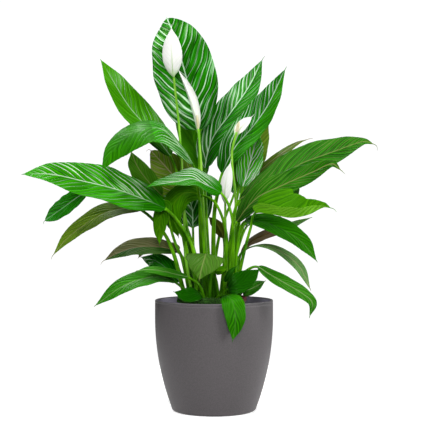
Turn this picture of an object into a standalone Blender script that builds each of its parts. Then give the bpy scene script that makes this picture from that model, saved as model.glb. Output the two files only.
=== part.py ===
"""Potted peace lily: leaves, flowers, soil, nursery pot and cover pot.

Run with blender --background --python part.py, or from Blender's text editor.
The scene is in metres with +Z up. The origin is the middle of the pot's foot, -Y is the front.
All sizes and places below are millimetres.
"""

import math

import bmesh
import bpy
from mathutils import Matrix, Vector

MM = 0.001

# Cover pot
POT_HEIGHT = 168.0
POT_RIM_RADIUS = 90.0
POT_FOOT_RADIUS = 60.0
POT_CORNER_RADIUS = 65.0
POT_STRAIGHT_FROM = 140.0
POT_CORNER_HEIGHT = 5.0
POT_WALL = 3.0
POT_FLOOR = 4.0
POT_SIDES = 44
POT_FOOT_BEVEL = 1.6
POT_LIP_BEVEL = 1.2
POT_INNER_BEVEL = 0.9
POT_CORNER_FILL = 3.0
POT_RINGS = (POT_CORNER_HEIGHT, 20.0, 42.0, 66.0, 92.0, 118.0, POT_STRAIGHT_FROM)

# Nursery pot, which stands on the cover pot's floor
NURSERY_X = -2.0
NURSERY_TOP = 173.0
NURSERY_RIM_RADIUS = 51.5
NURSERY_BAND = 6.0
NURSERY_BODY_RADIUS = 49.5
NURSERY_FOOT_RADIUS = 42.0
NURSERY_WALL = 1.5
NURSERY_SIDES = 32
DRAIN_HOLES = 4
DRAIN_RADIUS = 4.0
DRAIN_CIRCLE = 26.0

# Soil
SOIL_TOP = 166.0
STEM_DEPTH = 12.0
HOLE_DEPTH = 12.4
HOLE_CLEARANCE = 0.75
HOLE_SIDES = 8
CUT_PAST = 1.0

# What touching pieces keep between them
GAP = 0.3

# Leaves
BLADE_THICK = 0.8
RIB_DEPTH = 1.5
PETIOLE_BASE_RADIUS = 3.1
PETIOLE_NECK_RADIUS = 1.8
PETIOLE_SEGMENTS = 5
BLADE_SEGMENTS = 8
BASE_SHARPNESS = 0.62
TIP_SHARPNESS = 0.82
TIP_HALF_WIDTH = 0.6
WIDE_ACROSS = (-1.0, -0.5, 0.0, 0.5, 1.0)
SMALL_ACROSS = (-1.0, 0.0, 1.0)
SMALL_LEAF_WIDTH = 31.0

# Flowers
PEDUNCLE_BASE_RADIUS = 2.4
PEDUNCLE_TOP_RADIUS = 1.7
PEDUNCLE_SEGMENTS = 8
SPATHE_OVERLAP = 6.0
SPATHE_BASE_SHARPNESS = 0.8
SPATHE_TIP_SHARPNESS = 0.95
SPADIX_RINGS = 9
SPADIX_SIDES = 8
SPADIX_BUMP = 0.35
SPADIX_FOOT_SHARE = 0.55
SPADIX_SWELL = 3.0
SPADIX_TAPER_FROM = 0.7
SPADIX_TAPER_SPAN = 0.33
SPADIX_END_SHARE = 0.1

# Every leaf: name, petiole points from the soil to the neck, blade points from past the neck to
# the tip, full width, the way its upper face looks, and what is special about it.
# fold lifts both halves from the rib (degrees), cup curls the margins up (share of the half
# width), wave ripples them, twist turns the blade from its neck to its tip (degrees), and base
# and end say how sharply it narrows to its neck and to its tip. stem makes a petiole stouter.
LEAVES = (
    ("leaf_tall_back",
     ((-10, 16), (-19, 14, 244), (-21, 13, 321), (-22, 13, 383), (-23, 13, 424)),
     ((-33, 13, 464), (-43, 15, 510), (-56, 24, 556), (-67, 36, 589), (-74, 48, 606)),
     97, (-0.15, -1, 0.1), {"fold": 8, "base": 0.55, "end": 0.64, "stem": 1.4}),
    ("leaf_upper_left",
     ((-21, 4), (-32, 4, 229), (-41, 4, 275), (-55, 4, 353), (-66, 6, 385)),
     ((-99, 12, 427), (-134, 22, 468), (-176, 32, 538)),
     62, (0.55, -0.72, 0.41), {"fold": 14}),
    ("leaf_arching_left",
     ((-9, -19), (-17, -22, 275), (-24, -28, 336), (-31, -31, 371)),
     ((-55, -39, 404), (-79, -46, 425), (-111, -52, 422), (-145, -60, 396), (-163, -66, 366)),
     78, (0, -0.5, 0.87), {"fold": -8, "twist": -14, "base": 0.55, "end": 0.64}),
    ("leaf_long_left",
     ((-26, -23), (-30, -24, 241), (-46, -25, 275), (-70, -30, 304)),
     ((-119, -42, 326), (-152, -53, 337), (-194, -65, 347), (-236, -78, 356), (-276, -91, 356)),
     74, (0.1, -0.72, 0.68), {"fold": 8, "wave": 0.05, "stem": 1.2}),
    ("leaf_far_left",
     ((-26, 27), (-46, 38, 266), (-85, 50, 310), (-145, 60, 336), (-200, 67, 334)),
     ((-216, 70, 326), (-243, 76, 307), (-271, 84, 288)),
     36, (-0.1, -0.8, 0.55), {"fold": 6, "base": 0.5, "end": 0.55}),
    ("leaf_left_droop",
     ((-40, -3), (-47, -6, 184), (-61, -8, 237), (-77, -8, 271), (-108, -10, 303)),
     ((-133, -12, 307), (-163, -16, 301), (-194, -22, 283), (-220, -28, 262), (-240, -34, 238)),
     44, (-0.1, -0.55, 0.82), {"fold": 6, "stem": 1.2}),
    ("leaf_dark_left",
     ((-25, 15), (-44, 18, 243), (-56, 19, 298), (-80, 20, 326)),
     ((-101, 23, 348), (-119, 33, 372), (-130, 47, 396)),
     36, (0.3, -0.85, 0.4), {}),
    ("leaf_herringbone",
     ((-17, 31), (-31, 40, 230), (-33, 42, 276)),
     ((-35, 42, 310), (-46, 42, 335), (-70, 43, 366), (-99, 46, 398)),
     72, (0.1, -1, 0.15), {"fold": 8, "base": 0.45, "end": 0.62}),
    ("leaf_glossy_centre",
     ((24, -22), (28, -40, 230), (28, -46, 284), (22, -46, 311), (12, -47, 328)),
     ((-12, -53, 342), (-31, -59, 350), (-53, -66, 346), (-78, -76, 342), (-99, -88, 337)),
     48, (0, -0.55, 0.85), {"fold": 10, "twist": 40, "base": 0.45}),
    ("leaf_pendant",
     ((10, -15), (18, -27, 230), (18, -29, 272), (3, -25, 314), (-15, -19, 326)),
     ((-42, -15, 331), (-58, -13, 318), (-64, -12, 295), (-54, -12, 264)),
     40, (-0.2, -0.8, 0.5), {"fold": -4}),
    ("leaf_pendant_left",
     ((-36, 13), (-49, -4, 232), (-57, -13, 250), (-64, -18, 272), (-69, -20, 294)),
     ((-73, -21, 311), (-79, -22, 298), (-82, -23, 276), (-82, -24, 254)),
     24, (-0.1, -0.95, 0.3), {}),
    ("leaf_upper_right_back",
     ((-1, 26), (-9, 27, 244), (-12, 28, 306), (-14, 28, 366)),
     ((-3, 30, 414), (25, 38, 455), (55, 50, 499), (76, 62, 542)),
     56, (-0.35, -0.9, 0.25), {"fold": 10}),
    ("leaf_upper_right",
     ((1, 5), (-1, 5, 240), (1, 5, 306), (7, 4, 336), (12, 4, 358)),
     ((32, 1, 400), (58, -6, 430), (81, -14, 462), (107, -24, 516)),
     62, (-0.45, -0.75, 0.45), {"fold": 12, "stem": 1.4}),
    ("leaf_striped",
     ((26, -3), (33, -3, 245), (40, 0, 298), (44, 2, 339)),
     ((50, 3, 358), (56, 1, 380), (62, -3, 402), (68, -9, 424)),
     43, (-0.3, -0.9, 0.3), {"fold": 8}),
    ("leaf_behind_striped",
     ((20, 19), (28, 20, 244), (33, 20, 298), (39, 20, 343)),
     ((49, 22, 366), (59, 26, 390), (70, 32, 415), (85, 40, 442)),
     46, (0.5, -0.8, 0.3), {"fold": 4}),
    ("leaf_big_right",
     ((31, -11), (24, -15, 238), (28, -17, 283), (37, -19, 317)),
     ((72, -24, 341), (100, -28, 356), (131, -32, 374), (183, -40, 393), (222, -46, 406),
      (237, -49, 402)),
     58, (-0.35, -0.8, 0.5), {"fold": 8, "stem": 1.2, "base": 0.9, "end": 0.92}),
    ("leaf_front_right",
     ((22, -13), (25, -26, 250), (33, -38, 284)),
     ((62, -52, 321), (97, -64, 339), (145, -78, 360), (171, -88, 371), (183, -92, 362)),
     44, (-0.3, -0.8, 0.5), {"fold": 6}),
    ("leaf_edge_on",
     ((35, 6), (34, 7, 260), (40, 8, 320), (47, 8, 345)),
     ((73, 9, 367), (96, 14, 386), (130, 28, 409), (146, 36, 415)),
     24, (-0.45, -0.5, 0.75), {}),
    ("leaf_raised_right",
     ((28, -26), (38, -47, 212), (46, -60, 249), (54, -68, 279), (60, -72, 300)),
     ((85, -84, 299), (110, -95, 294), (135, -105, 298), (156, -113, 308), (166, -118, 307)),
     82, (0, -0.45, 0.89), {"fold": 48, "base": 0.5, "end": 0.95}),
    ("leaf_glossy_right",
     ((33, -18), (32, -33, 216), (36, -37, 255), (44, -38, 286)),
     ((71, -44, 288), (101, -54, 276), (129, -64, 257), (150, -72, 230)),
     45, (0.25, -0.65, 0.75), {"fold": 6}),
    ("leaf_brown_underside",
     ((38, -3), (38, -8, 215), (40, -10, 236)),
     ((54, -8, 255), (78, -2, 267), (117, 10, 280), (150, 22, 293)),
     34, (-0.35, 0.45, 0.8), {}),
    ("leaf_turned_right",
     ((38, -10), (36, -20, 205), (36, -25, 232)),
     ((52, -28, 248), (77, -32, 251), (101, -36, 242), (127, -42, 220), (143, -46, 187)),
     30, (0.2, -0.35, 0.9), {"twist": 60}),
    ("leaf_low_right",
     ((19, -32), (24, -38, 182), (34, -48, 194), (46, -56, 213), (62, -61, 221)),
     ((80, -66, 211), (101, -74, 199), (128, -84, 183), (142, -92, 170), (138, -96, 151)),
     30, (0.3, -0.65, 0.7), {"fold": 4}),
    ("leaf_dark_front",
     ((10, -34), (15, -42, 181), (21, -50, 187)),
     ((30, -60, 193), (44, -66, 200), (56, -69, 208), (66, -71, 217)),
     34, (-0.3, -0.85, 0.35), {"fold": 8}),
    ("leaf_behind_dark_front",
     ((35, 15), (44, 4, 180)),
     ((54, -8, 184), (66, -14, 190), (77, -18, 197)),
     26, (-0.2, -0.7, 0.7), {}),
    ("leaf_over_rim",
     ((2, -37), (7, -45, 176), (15, -56, 178)),
     ((21, -74, 178), (27, -91, 171), (31, -98, 151), (30, -99, 134), (27, -98, 117)),
     33, (0, -0.75, 0.65), {"fold": -4, "base": 0.72}),
    ("leaf_low_left",
     ((-23, -31), (-21, -44, 180)),
     ((-28, -56, 181), (-43, -62, 179), (-58, -66, 184)),
     28, (0, -0.75, 0.65), {}),
    ("leaf_left_low",
     ((-34, -17), (-44, -28, 184), (-56, -34, 195)),
     ((-75, -40, 204), (-95, -48, 205), (-131, -62, 194), (-173, -78, 165)),
     38, (-0.1, -0.6, 0.8), {"fold": 4}),
    ("leaf_bright_edge",
     ((-14, -31), (-22, -42, 192), (-38, -47, 204)),
     ((-56, -50, 209), (-72, -53, 213), (-94, -58, 216.5), (-113, -63, 215)),
     24, (0, -0.5, 0.85), {}),
    ("leaf_dark_low_left",
     ((-40, 8), (-46, 14, 182), (-52, 20, 193)),
     ((-70, 28, 211), (-90, 36, 225), (-114, 46, 231)),
     36, (0.1, -0.8, 0.55), {}),
    ("leaf_olive_left",
     ((-30, 5), (-40, 7, 215), (-54, 8, 239)),
     ((-84, 8, 248), (-116, 6, 248), (-142, 2, 241), (-167, -2, 228)),
     42, (0, -0.6, 0.8), {"fold": 4}),
    ("leaf_facing_front",
     ((-7, -34), (-6, -38, 205), (-7, -44, 232)),
     ((-11, -62, 240), (-14, -80, 233), (-18, -93, 219), (-21, -99, 204)),
     58, (0, -0.7, 0.75), {"fold": -8, "base": 0.5}),
    ("leaf_small_bright",
     ((7, -25), (4, -27, 195), (1, -27, 211)),
     ((9, -30, 214), (19, -34, 216)),
     16, (0, -0.8, 0.6), {}),
    ("leaf_small_dark",
     ((16, -23), (15, -31, 185), (16, -38, 197)),
     ((22, -46, 209), (33, -52, 221)),
     12, (-0.4, -0.7, 0.5), {}),
    ("leaf_brown_back",
     ((10, 34), (16, 42, 230), (15, 44, 260)),
     ((8, 45, 276), (-8, 46, 294)),
     20, (0.4, 0.85, 0.2), {}),
    ("leaf_young_rolled",
     ((-18, -12), (-39, -18, 236), (-43, -20, 256)),
     ((-52, -22, 272), (-61, -24, 288)),
     16, (0.4, -0.6, 0.6), {"fold": 30}),
    ("leaf_back_left",
     ((-13, 39), (-36, 74, 256), (-56, 98, 304)),
     ((-80, 118, 336), (-104, 140, 346), (-124, 160, 342), (-138, 178, 326)),
     56, (-0.2, 0.3, 0.9), {"fold": 8}),
    ("leaf_back_right",
     ((10, 40), (34, 68, 246), (58, 94, 300)),
     ((84, 118, 334), (108, 142, 345), (128, 164, 341), (142, 182, 326)),
     56, (0.2, 0.3, 0.9), {"fold": 8}),
    ("leaf_back_middle",
     ((-5, 38), (8, 66, 262), (32, 98, 330)),
     ((44, 120, 366), (54, 148, 396), (58, 178, 408), (60, 206, 398)),
     46, (0, 0.45, 0.9), {"fold": 8}),
    ("leaf_back_upright",
     ((-10, 27), (-16, 50, 260), (-20, 66, 350)),
     ((-29, 76, 400), (-40, 84, 450), (-46, 96, 500), (-50, 112, 540)),
     50, (0.2, 1, 0.3), {"fold": 8}),
    ("leaf_back_upright_right",
     ((10, 24), (26, 44, 260), (38, 60, 330)),
     ((50, 74, 372), (62, 88, 412), (72, 104, 446), (78, 122, 470)),
     56, (-0.2, 1, 0.4), {"fold": 8}),
    ("leaf_back_low_left",
     ((-22, 36), (-27, 42, 182), (-44, 66, 218), (-58, 88, 240)),
     ((-80, 112, 252), (-106, 138, 246), (-126, 158, 226)),
     40, (-0.3, 0.4, 0.85), {"fold": 4}),
    ("leaf_back_low_right",
     ((19, 34), (36, 62, 236), (52, 84, 278)),
     ((74, 108, 292), (98, 134, 294), (118, 154, 281)),
     36, (0.3, 0.3, 0.95), {"fold": 4}),
)

# Every flower: name, stalk points from the soil to the spadix's foot, spathe points from its
# base to its tip, the spathe's full width, the way its inner face looks, how far its margins
# curl in, and the spadix's length and radius.
FLOWERS = (
    ("tall", ((-31, -8), (-43, -5, 231), (-46, -4, 306), (-53, 0, 427), (-62, -4, 513)),
     ((-63, -8, 530), (-64, -9, 553), (-64, -8, 581)),
     35, (0.1, 1, 0.1), 0.35, 26, 3.2),
    ("rolled", ((-8, -8), (-12, -8, 245), (-17, -8, 321), (-20, -8, 381), (-24, -8, 428)),
     ((-28, -10, 450), (-36, -14, 478), (-52, -22, 516)),
     19, (0.5, -0.8, 0.3), 0.9, 20, 1.6),
    ("small", ((15, 5), (27, -6, 260), (33, -12, 313), (27, -18, 388), (34, -20, 422)),
     ((41, -19, 431), (49, -20, 439), (56, -21, 446)),
     20, (-0.35, -0.85, 0.35), 0.3, 15, 2.3),
    ("low", ((13, -6), (18, -16, 248), (17, -22, 290), (17, -24, 321)),
     ((18, -26, 339), (21, -27, 357), (26, -28, 376)),
     21, (0.3, 0.9, 0.1), 0.35, 20, 2.2),
)

# Colours (linear red, green, blue), roughness
FINISHES = {
    "pot_plastic": ((0.115, 0.105, 0.105), 0.5),
    "nursery_plastic": ((0.16, 0.04, 0.025), 0.5),
    "soil": ((0.03, 0.018, 0.01), 0.95),
    "leaf": ((0.02, 0.16, 0.01), 0.3),
    "spathe": ((0.85, 0.88, 0.8), 0.5),
    "spadix": ((0.75, 0.68, 0.4), 0.7),
    "stalk": ((0.1, 0.36, 0.02), 0.4),
}


def finish(name):
    """The shared material of one kind of surface."""
    material = bpy.data.materials.get(name)
    if material is None:
        colour, roughness = FINISHES[name]
        material = bpy.data.materials.new(name)
        material.use_nodes = True
        shader = material.node_tree.nodes["Principled BSDF"]
        shader.inputs["Base Color"].default_value = (*colour, 1.0)
        shader.inputs["Roughness"].default_value = roughness
        shader.inputs["Metallic"].default_value = 0.0
    return material


def add_object(name, points, faces, finish_name):
    """A smooth-shaded object from points in millimetres and faces that point out."""
    mesh = bpy.data.meshes.new(name)
    mesh.from_pydata([Vector(point) * MM for point in points], [], faces)
    tidy = bmesh.new()
    tidy.from_mesh(mesh)
    bmesh.ops.recalc_face_normals(tidy, faces=tidy.faces)
    tidy.to_mesh(mesh)
    tidy.free()
    mesh.materials.append(finish(finish_name))
    mesh.shade_smooth()
    mesh.set_sharp_from_angle(angle=math.radians(50))
    obj = bpy.data.objects.new(name, mesh)
    bpy.context.scene.collection.objects.link(obj)
    return obj


def turned(name, profile, sides, finish_name, centre_x=0.0):
    """A closed turned body. The profile starts and ends on the axis."""
    points, faces, rings = [], [], []
    for radius, height in profile:
        if radius == 0.0:
            rings.append([len(points)])
            points.append((centre_x, 0.0, height))
            continue
        rings.append(list(range(len(points), len(points) + sides)))
        for step in range(sides):
            angle = math.tau * step / sides
            points.append((centre_x + radius * math.cos(angle), radius * math.sin(angle), height))
    for lower, upper in zip(rings, rings[1:]):
        for step in range(sides):
            after = (step + 1) % sides
            if len(lower) == 1:
                faces.append((lower[0], upper[after], upper[step]))
            elif len(upper) == 1:
                faces.append((lower[step], lower[after], upper[0]))
            else:
                faces.append((lower[step], lower[after], upper[after], upper[step]))
    return add_object(name, points, faces, finish_name)


def cut(target, cutters):
    """Takes the cutters' shapes out of the target for good."""
    collection = bpy.data.collections.new("cutters")
    for cutter in cutters:
        collection.objects.link(cutter)
    modifier = target.modifiers.new("cut", "BOOLEAN")
    modifier.operation = "DIFFERENCE"
    modifier.operand_type = "COLLECTION"
    modifier.collection = collection
    graph = bpy.context.evaluated_depsgraph_get()
    mesh = bpy.data.meshes.new_from_object(target.evaluated_get(graph))
    target.modifiers.remove(modifier)
    target.data = mesh
    for cutter in cutters:
        bpy.data.objects.remove(cutter)
    bpy.data.collections.remove(collection)


def pot_radius(height):
    """The cover pot's outer radius: straight near the rim, then bowed in towards the foot."""
    if height >= POT_STRAIGHT_FROM:
        return POT_RIM_RADIUS
    drop = (POT_STRAIGHT_FROM - height) / (POT_STRAIGHT_FROM - POT_CORNER_HEIGHT)
    return POT_RIM_RADIUS - (POT_RIM_RADIUS - POT_CORNER_RADIUS) * drop ** 2


def cover_pot():
    """The outer pot, turned: rounded foot, bowed side, bevelled lip and a flat floor inside."""
    outer = [(0.0, 0.0), (POT_FOOT_RADIUS, 0.0),
             (POT_CORNER_RADIUS - POT_FOOT_BEVEL, POT_FOOT_BEVEL)]
    outer += [(pot_radius(height), height) for height in POT_RINGS]
    inside = POT_RIM_RADIUS - POT_WALL
    lip = [(POT_RIM_RADIUS, POT_HEIGHT - POT_LIP_BEVEL), (POT_RIM_RADIUS - POT_LIP_BEVEL, POT_HEIGHT),
           (inside + POT_INNER_BEVEL, POT_HEIGHT), (inside, POT_HEIGHT - POT_INNER_BEVEL)]
    inner = [(pot_radius(height) - POT_WALL, height) for height in reversed(POT_RINGS[1:])]
    inner += [(POT_CORNER_RADIUS - POT_WALL, POT_FLOOR + POT_CORNER_FILL),
              (POT_FOOT_RADIUS - POT_WALL, POT_FLOOR), (0.0, POT_FLOOR)]
    turned("cover_pot", outer + lip + inner, POT_SIDES, "pot_plastic")


def prism(radius, x, y, bottom, top, sides):
    """An upright cutter."""
    ring = [(x + radius * math.cos(math.tau * step / sides),
             y + radius * math.sin(math.tau * step / sides)) for step in range(sides)]
    points = [(px, py, bottom) for px, py in ring] + [(px, py, top) for px, py in ring]
    faces = [tuple(reversed(range(sides))), tuple(range(sides, 2 * sides))]
    for step in range(sides):
        after = (step + 1) % sides
        faces.append((step, after, after + sides, step + sides))
    return add_object("cutter", points, faces, "soil")


def nursery_radius(height):
    """The nursery pot's outer radius below its band."""
    share = (height - POT_FLOOR) / (NURSERY_TOP - NURSERY_BAND - POT_FLOOR)
    return NURSERY_FOOT_RADIUS + (NURSERY_BODY_RADIUS - NURSERY_FOOT_RADIUS) * share


def nursery_pot():
    foot = POT_FLOOR + GAP
    band = NURSERY_TOP - NURSERY_BAND
    profile = [(0.0, foot), (NURSERY_FOOT_RADIUS - 1.5, foot), (NURSERY_FOOT_RADIUS, foot + 1.5),
               (nursery_radius(band), band), (NURSERY_RIM_RADIUS, band),
               (NURSERY_RIM_RADIUS, NURSERY_TOP - 0.6), (NURSERY_RIM_RADIUS - 0.6, NURSERY_TOP),
               (nursery_radius(band) - NURSERY_WALL, NURSERY_TOP),
               (NURSERY_FOOT_RADIUS - NURSERY_WALL, foot + NURSERY_WALL),
               (0.0, foot + NURSERY_WALL)]
    pot = turned("nursery_pot", profile, NURSERY_SIDES, "nursery_plastic", NURSERY_X)
    cutters = []
    for number in range(DRAIN_HOLES):
        angle = math.tau * (number + 0.5) / DRAIN_HOLES
        cutters.append(prism(DRAIN_RADIUS, NURSERY_X + DRAIN_CIRCLE * math.cos(angle),
                             DRAIN_CIRCLE * math.sin(angle), foot - CUT_PAST,
                             foot + NURSERY_WALL + CUT_PAST, HOLE_SIDES))
    cut(pot, cutters)


def soil():
    """The compost, with a plain round hole for every stem."""
    bottom = POT_FLOOR + GAP + NURSERY_WALL + GAP
    inside = nursery_radius(NURSERY_TOP - NURSERY_BAND) - NURSERY_WALL
    lean = (inside - NURSERY_FOOT_RADIUS + NURSERY_WALL) / (NURSERY_TOP - bottom)
    top_radius = inside - lean * (NURSERY_TOP - SOIL_TOP) - 2.0 * GAP
    bottom_radius = NURSERY_FOOT_RADIUS - NURSERY_WALL - 2.0 * GAP
    profile = [(0.0, bottom), (bottom_radius, bottom), (top_radius, SOIL_TOP), (0.0, SOIL_TOP)]
    plug = turned("soil", profile, NURSERY_SIDES, "soil", NURSERY_X)
    stems = [(petiole[0], PETIOLE_BASE_RADIUS * style.get("stem", 1.0))
             for name, petiole, blade, width, face, style in LEAVES]
    stems += [(stalk[0], PEDUNCLE_BASE_RADIUS) for name, stalk, *rest in FLOWERS]
    cutters = []
    for (x, y), radius in stems:
        cutters.append(prism(radius + HOLE_CLEARANCE, x, y, SOIL_TOP - HOLE_DEPTH,
                             SOIL_TOP + CUT_PAST, HOLE_SIDES))
    cut(plug, cutters)


def smooth_path(points, count):
    """count + 1 points spaced evenly along a smooth curve through the given points."""
    knots = [Vector(point) for point in points]
    ends = [2 * knots[0] - knots[1]] + knots + [2 * knots[-1] - knots[-2]]
    fine = []
    for before, start, end, after in zip(ends, ends[1:], ends[2:], ends[3:]):
        reach = (end - start).length
        into = (end - before) * (reach / ((start - before).length + reach))
        out = (after - start) * (reach / ((after - end).length + reach))
        for step in range(16):
            t = step / 16
            fine.append((2 * t ** 3 - 3 * t ** 2 + 1) * start + (t ** 3 - 2 * t ** 2 + t) * into
                        + (3 * t ** 2 - 2 * t ** 3) * end + (t ** 3 - t ** 2) * out)
    fine.append(knots[-1])
    lengths = [0.0]
    for first, second in zip(fine, fine[1:]):
        lengths.append(lengths[-1] + (second - first).length)
    path, place = [], 0
    for step in range(count + 1):
        wanted = lengths[-1] * step / count
        while place < len(fine) - 2 and lengths[place + 1] < wanted:
            place += 1
        share = (wanted - lengths[place]) / (lengths[place + 1] - lengths[place])
        path.append(fine[place].lerp(fine[place + 1], share))
    return path


def tangents(path):
    ends = [2 * path[0] - path[1]] + path + [2 * path[-1] - path[-2]]
    return [(after - before).normalized() for before, after in zip(ends, ends[2:])]


def faces_along(path, face, start):
    """Upward directions along the path, carried without twist from the point start."""
    along = tangents(path)
    ups = [None] * len(path)
    seed = Vector(face)
    ups[start] = (seed - seed.dot(along[start]) * along[start]).normalized()
    order = [(i, i - 1) for i in range(start + 1, len(path))]
    order += [(i, i + 1) for i in range(start - 1, -1, -1)]
    for place, neighbour in order:
        turn = along[neighbour].rotation_difference(along[place])
        carried = turn @ ups[neighbour]
        ups[place] = (carried - carried.dot(along[place]) * along[place]).normalized()
    return along, ups


def outline(t, base, end):
    """Half width of a leaf along its length, as a share of its widest."""
    peak = base / (base + end)
    return t ** base * (1.0 - t) ** end / (peak ** base * (1.0 - peak) ** end)


def round_ring(centre, side, up, radius):
    """Six points round a stem, top three then bottom three."""
    ring = []
    for degrees in (150, 90, 30, -30, -90, -150):
        angle = math.radians(degrees)
        ring.append(centre + radius * (math.cos(angle) * side + math.sin(angle) * up))
    return ring


def blade_ring(centre, side, up, half, across, thick, rib, shape):
    """The points round a blade at one place, top from left to right, then bottom back."""
    top, bottom = [], []
    for s in across:
        lift = shape["fold"] * abs(s) + shape["cup"] * s * s + shape["wave"] * s * s
        middle = centre + side * (half * s * shape["flat"]) + up * (half * lift)
        top.append(middle + up * (thick / 2))
        bottom.append(middle - up * (thick / 2 + (rib if s == 0 else 0.0)))
    return top + bottom[::-1]


def bridge(first, second, faces):
    """Joins two rings of a blade with triangles that are alike above and below."""
    count = len(first) // 2
    for row, flip in ((0, False), (count, True)):
        for step in range(count - 1):
            a, b = first[row + step], first[row + step + 1]
            c, d = second[row + step + 1], second[row + step]
            mirrored = (step < (count - 1) / 2) != flip
            faces += [(a, b, c), (a, c, d)] if mirrored else [(a, b, d), (b, c, d)]
    for left, right in ((count - 1, count), (2 * count - 1, 0)):
        faces.append((first[left], first[right], second[right], second[left]))


def widen(first, second, faces):
    """Joins a six-point ring of a stem to a ten-point ring of a blade."""
    for row, wide in ((0, 0), (3, 5)):
        a, b, c = first[row:row + 3]
        v, w, x, y, z = second[wide:wide + 5]
        faces += [(a, w, v), (a, b, w), (b, x, w), (b, y, x), (b, c, y), (c, z, y)]
    faces.append((first[2], first[3], second[5], second[4]))
    faces.append((first[5], first[0], second[0], second[9]))


def close_end(ring, faces):
    """Caps a ring across, from its top row to its bottom row."""
    count = len(ring) // 2
    for step in range(count - 1):
        faces.append((ring[step], ring[step + 1], ring[-2 - step], ring[-1 - step]))


def add_ring(points, rings, ring):
    rings.append(list(range(len(points), len(points) + len(ring))))
    points += ring


def blade_rings(path, along, ups, width, style, across, points, rings, thick, rib):
    """Adds the rings of a blade after its neck."""
    count = len(path) - 1
    fold = math.radians(style.get("fold", 0))
    base, end = style.get("base", BASE_SHARPNESS), style.get("end", TIP_SHARPNESS)
    for place in range(1, count + 1):
        t = place / count
        half = max(width / 2 * outline(t, base, end), TIP_HALF_WIDTH)
        twist = Matrix.Rotation(math.radians(style.get("twist", 0)) * (t - 0.5), 3, along[place])
        up = twist @ ups[place]
        side = along[place].cross(up)
        wave = style.get("wave", 0.0) * math.sin(math.tau * 2.5 * t)
        shape = {"fold": math.sin(fold), "flat": math.cos(fold),
                 "cup": style.get("cup", 0.0), "wave": wave}
        ring = blade_ring(path[place], side, up, half, across, thick, rib * (1.0 - t), shape)
        add_ring(points, rings, ring)


def leaf(name, petiole, blade, width, face, style):
    """One leaf, petiole and blade in one body, standing in its hole in the soil."""
    (x, y), rest = petiole[0], petiole[1:]
    foot = (x, y, SOIL_TOP - STEM_DEPTH)
    level = (x, y, SOIL_TOP + 1.0)
    stem = smooth_path((level, *rest, blade[0]), PETIOLE_SEGMENTS * 8)
    neck = min(range(len(stem)), key=lambda i: (stem[i] - Vector(rest[-1])).length)
    stem = [stem[round(neck * step / PETIOLE_SEGMENTS)] for step in range(PETIOLE_SEGMENTS + 1)]
    whole = smooth_path((rest[-2] if len(rest) > 1 else level, rest[-1], *blade), 200)
    start = min(range(len(whole)), key=lambda i: (whole[i] - Vector(rest[-1])).length)
    picks = [start + round((200 - start) * step / BLADE_SEGMENTS) for step in range(BLADE_SEGMENTS + 1)]
    spine = [Vector(foot)] + stem[:-1] + [whole[pick] for pick in picks]
    middle = len(stem) + BLADE_SEGMENTS // 2
    along, ups = faces_along(spine, face, middle)
    across = SMALL_ACROSS if width < SMALL_LEAF_WIDTH else WIDE_ACROSS
    points, rings, faces = [], [], []
    for place in range(len(stem) + 1):
        share = place / len(stem)
        radius = PETIOLE_BASE_RADIUS + (PETIOLE_NECK_RADIUS - PETIOLE_BASE_RADIUS) * share
        radius *= style.get("stem", 1.0)
        up = ups[place] if place > 1 else ups[2]
        side = along[place].cross(up).normalized()
        add_ring(points, rings, round_ring(spine[place], side, side.cross(along[place]), radius))
    blade_rings(spine[len(stem):], along[len(stem):], ups[len(stem):], width, style, across,
                points, rings, BLADE_THICK, RIB_DEPTH)
    for first, second in zip(rings, rings[1:]):
        (bridge if len(first) == len(second) else widen)(first, second, faces)
    close_end(rings[0], faces)
    close_end(rings[-1], faces)
    return add_object(name, points, faces, "leaf")


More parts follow.
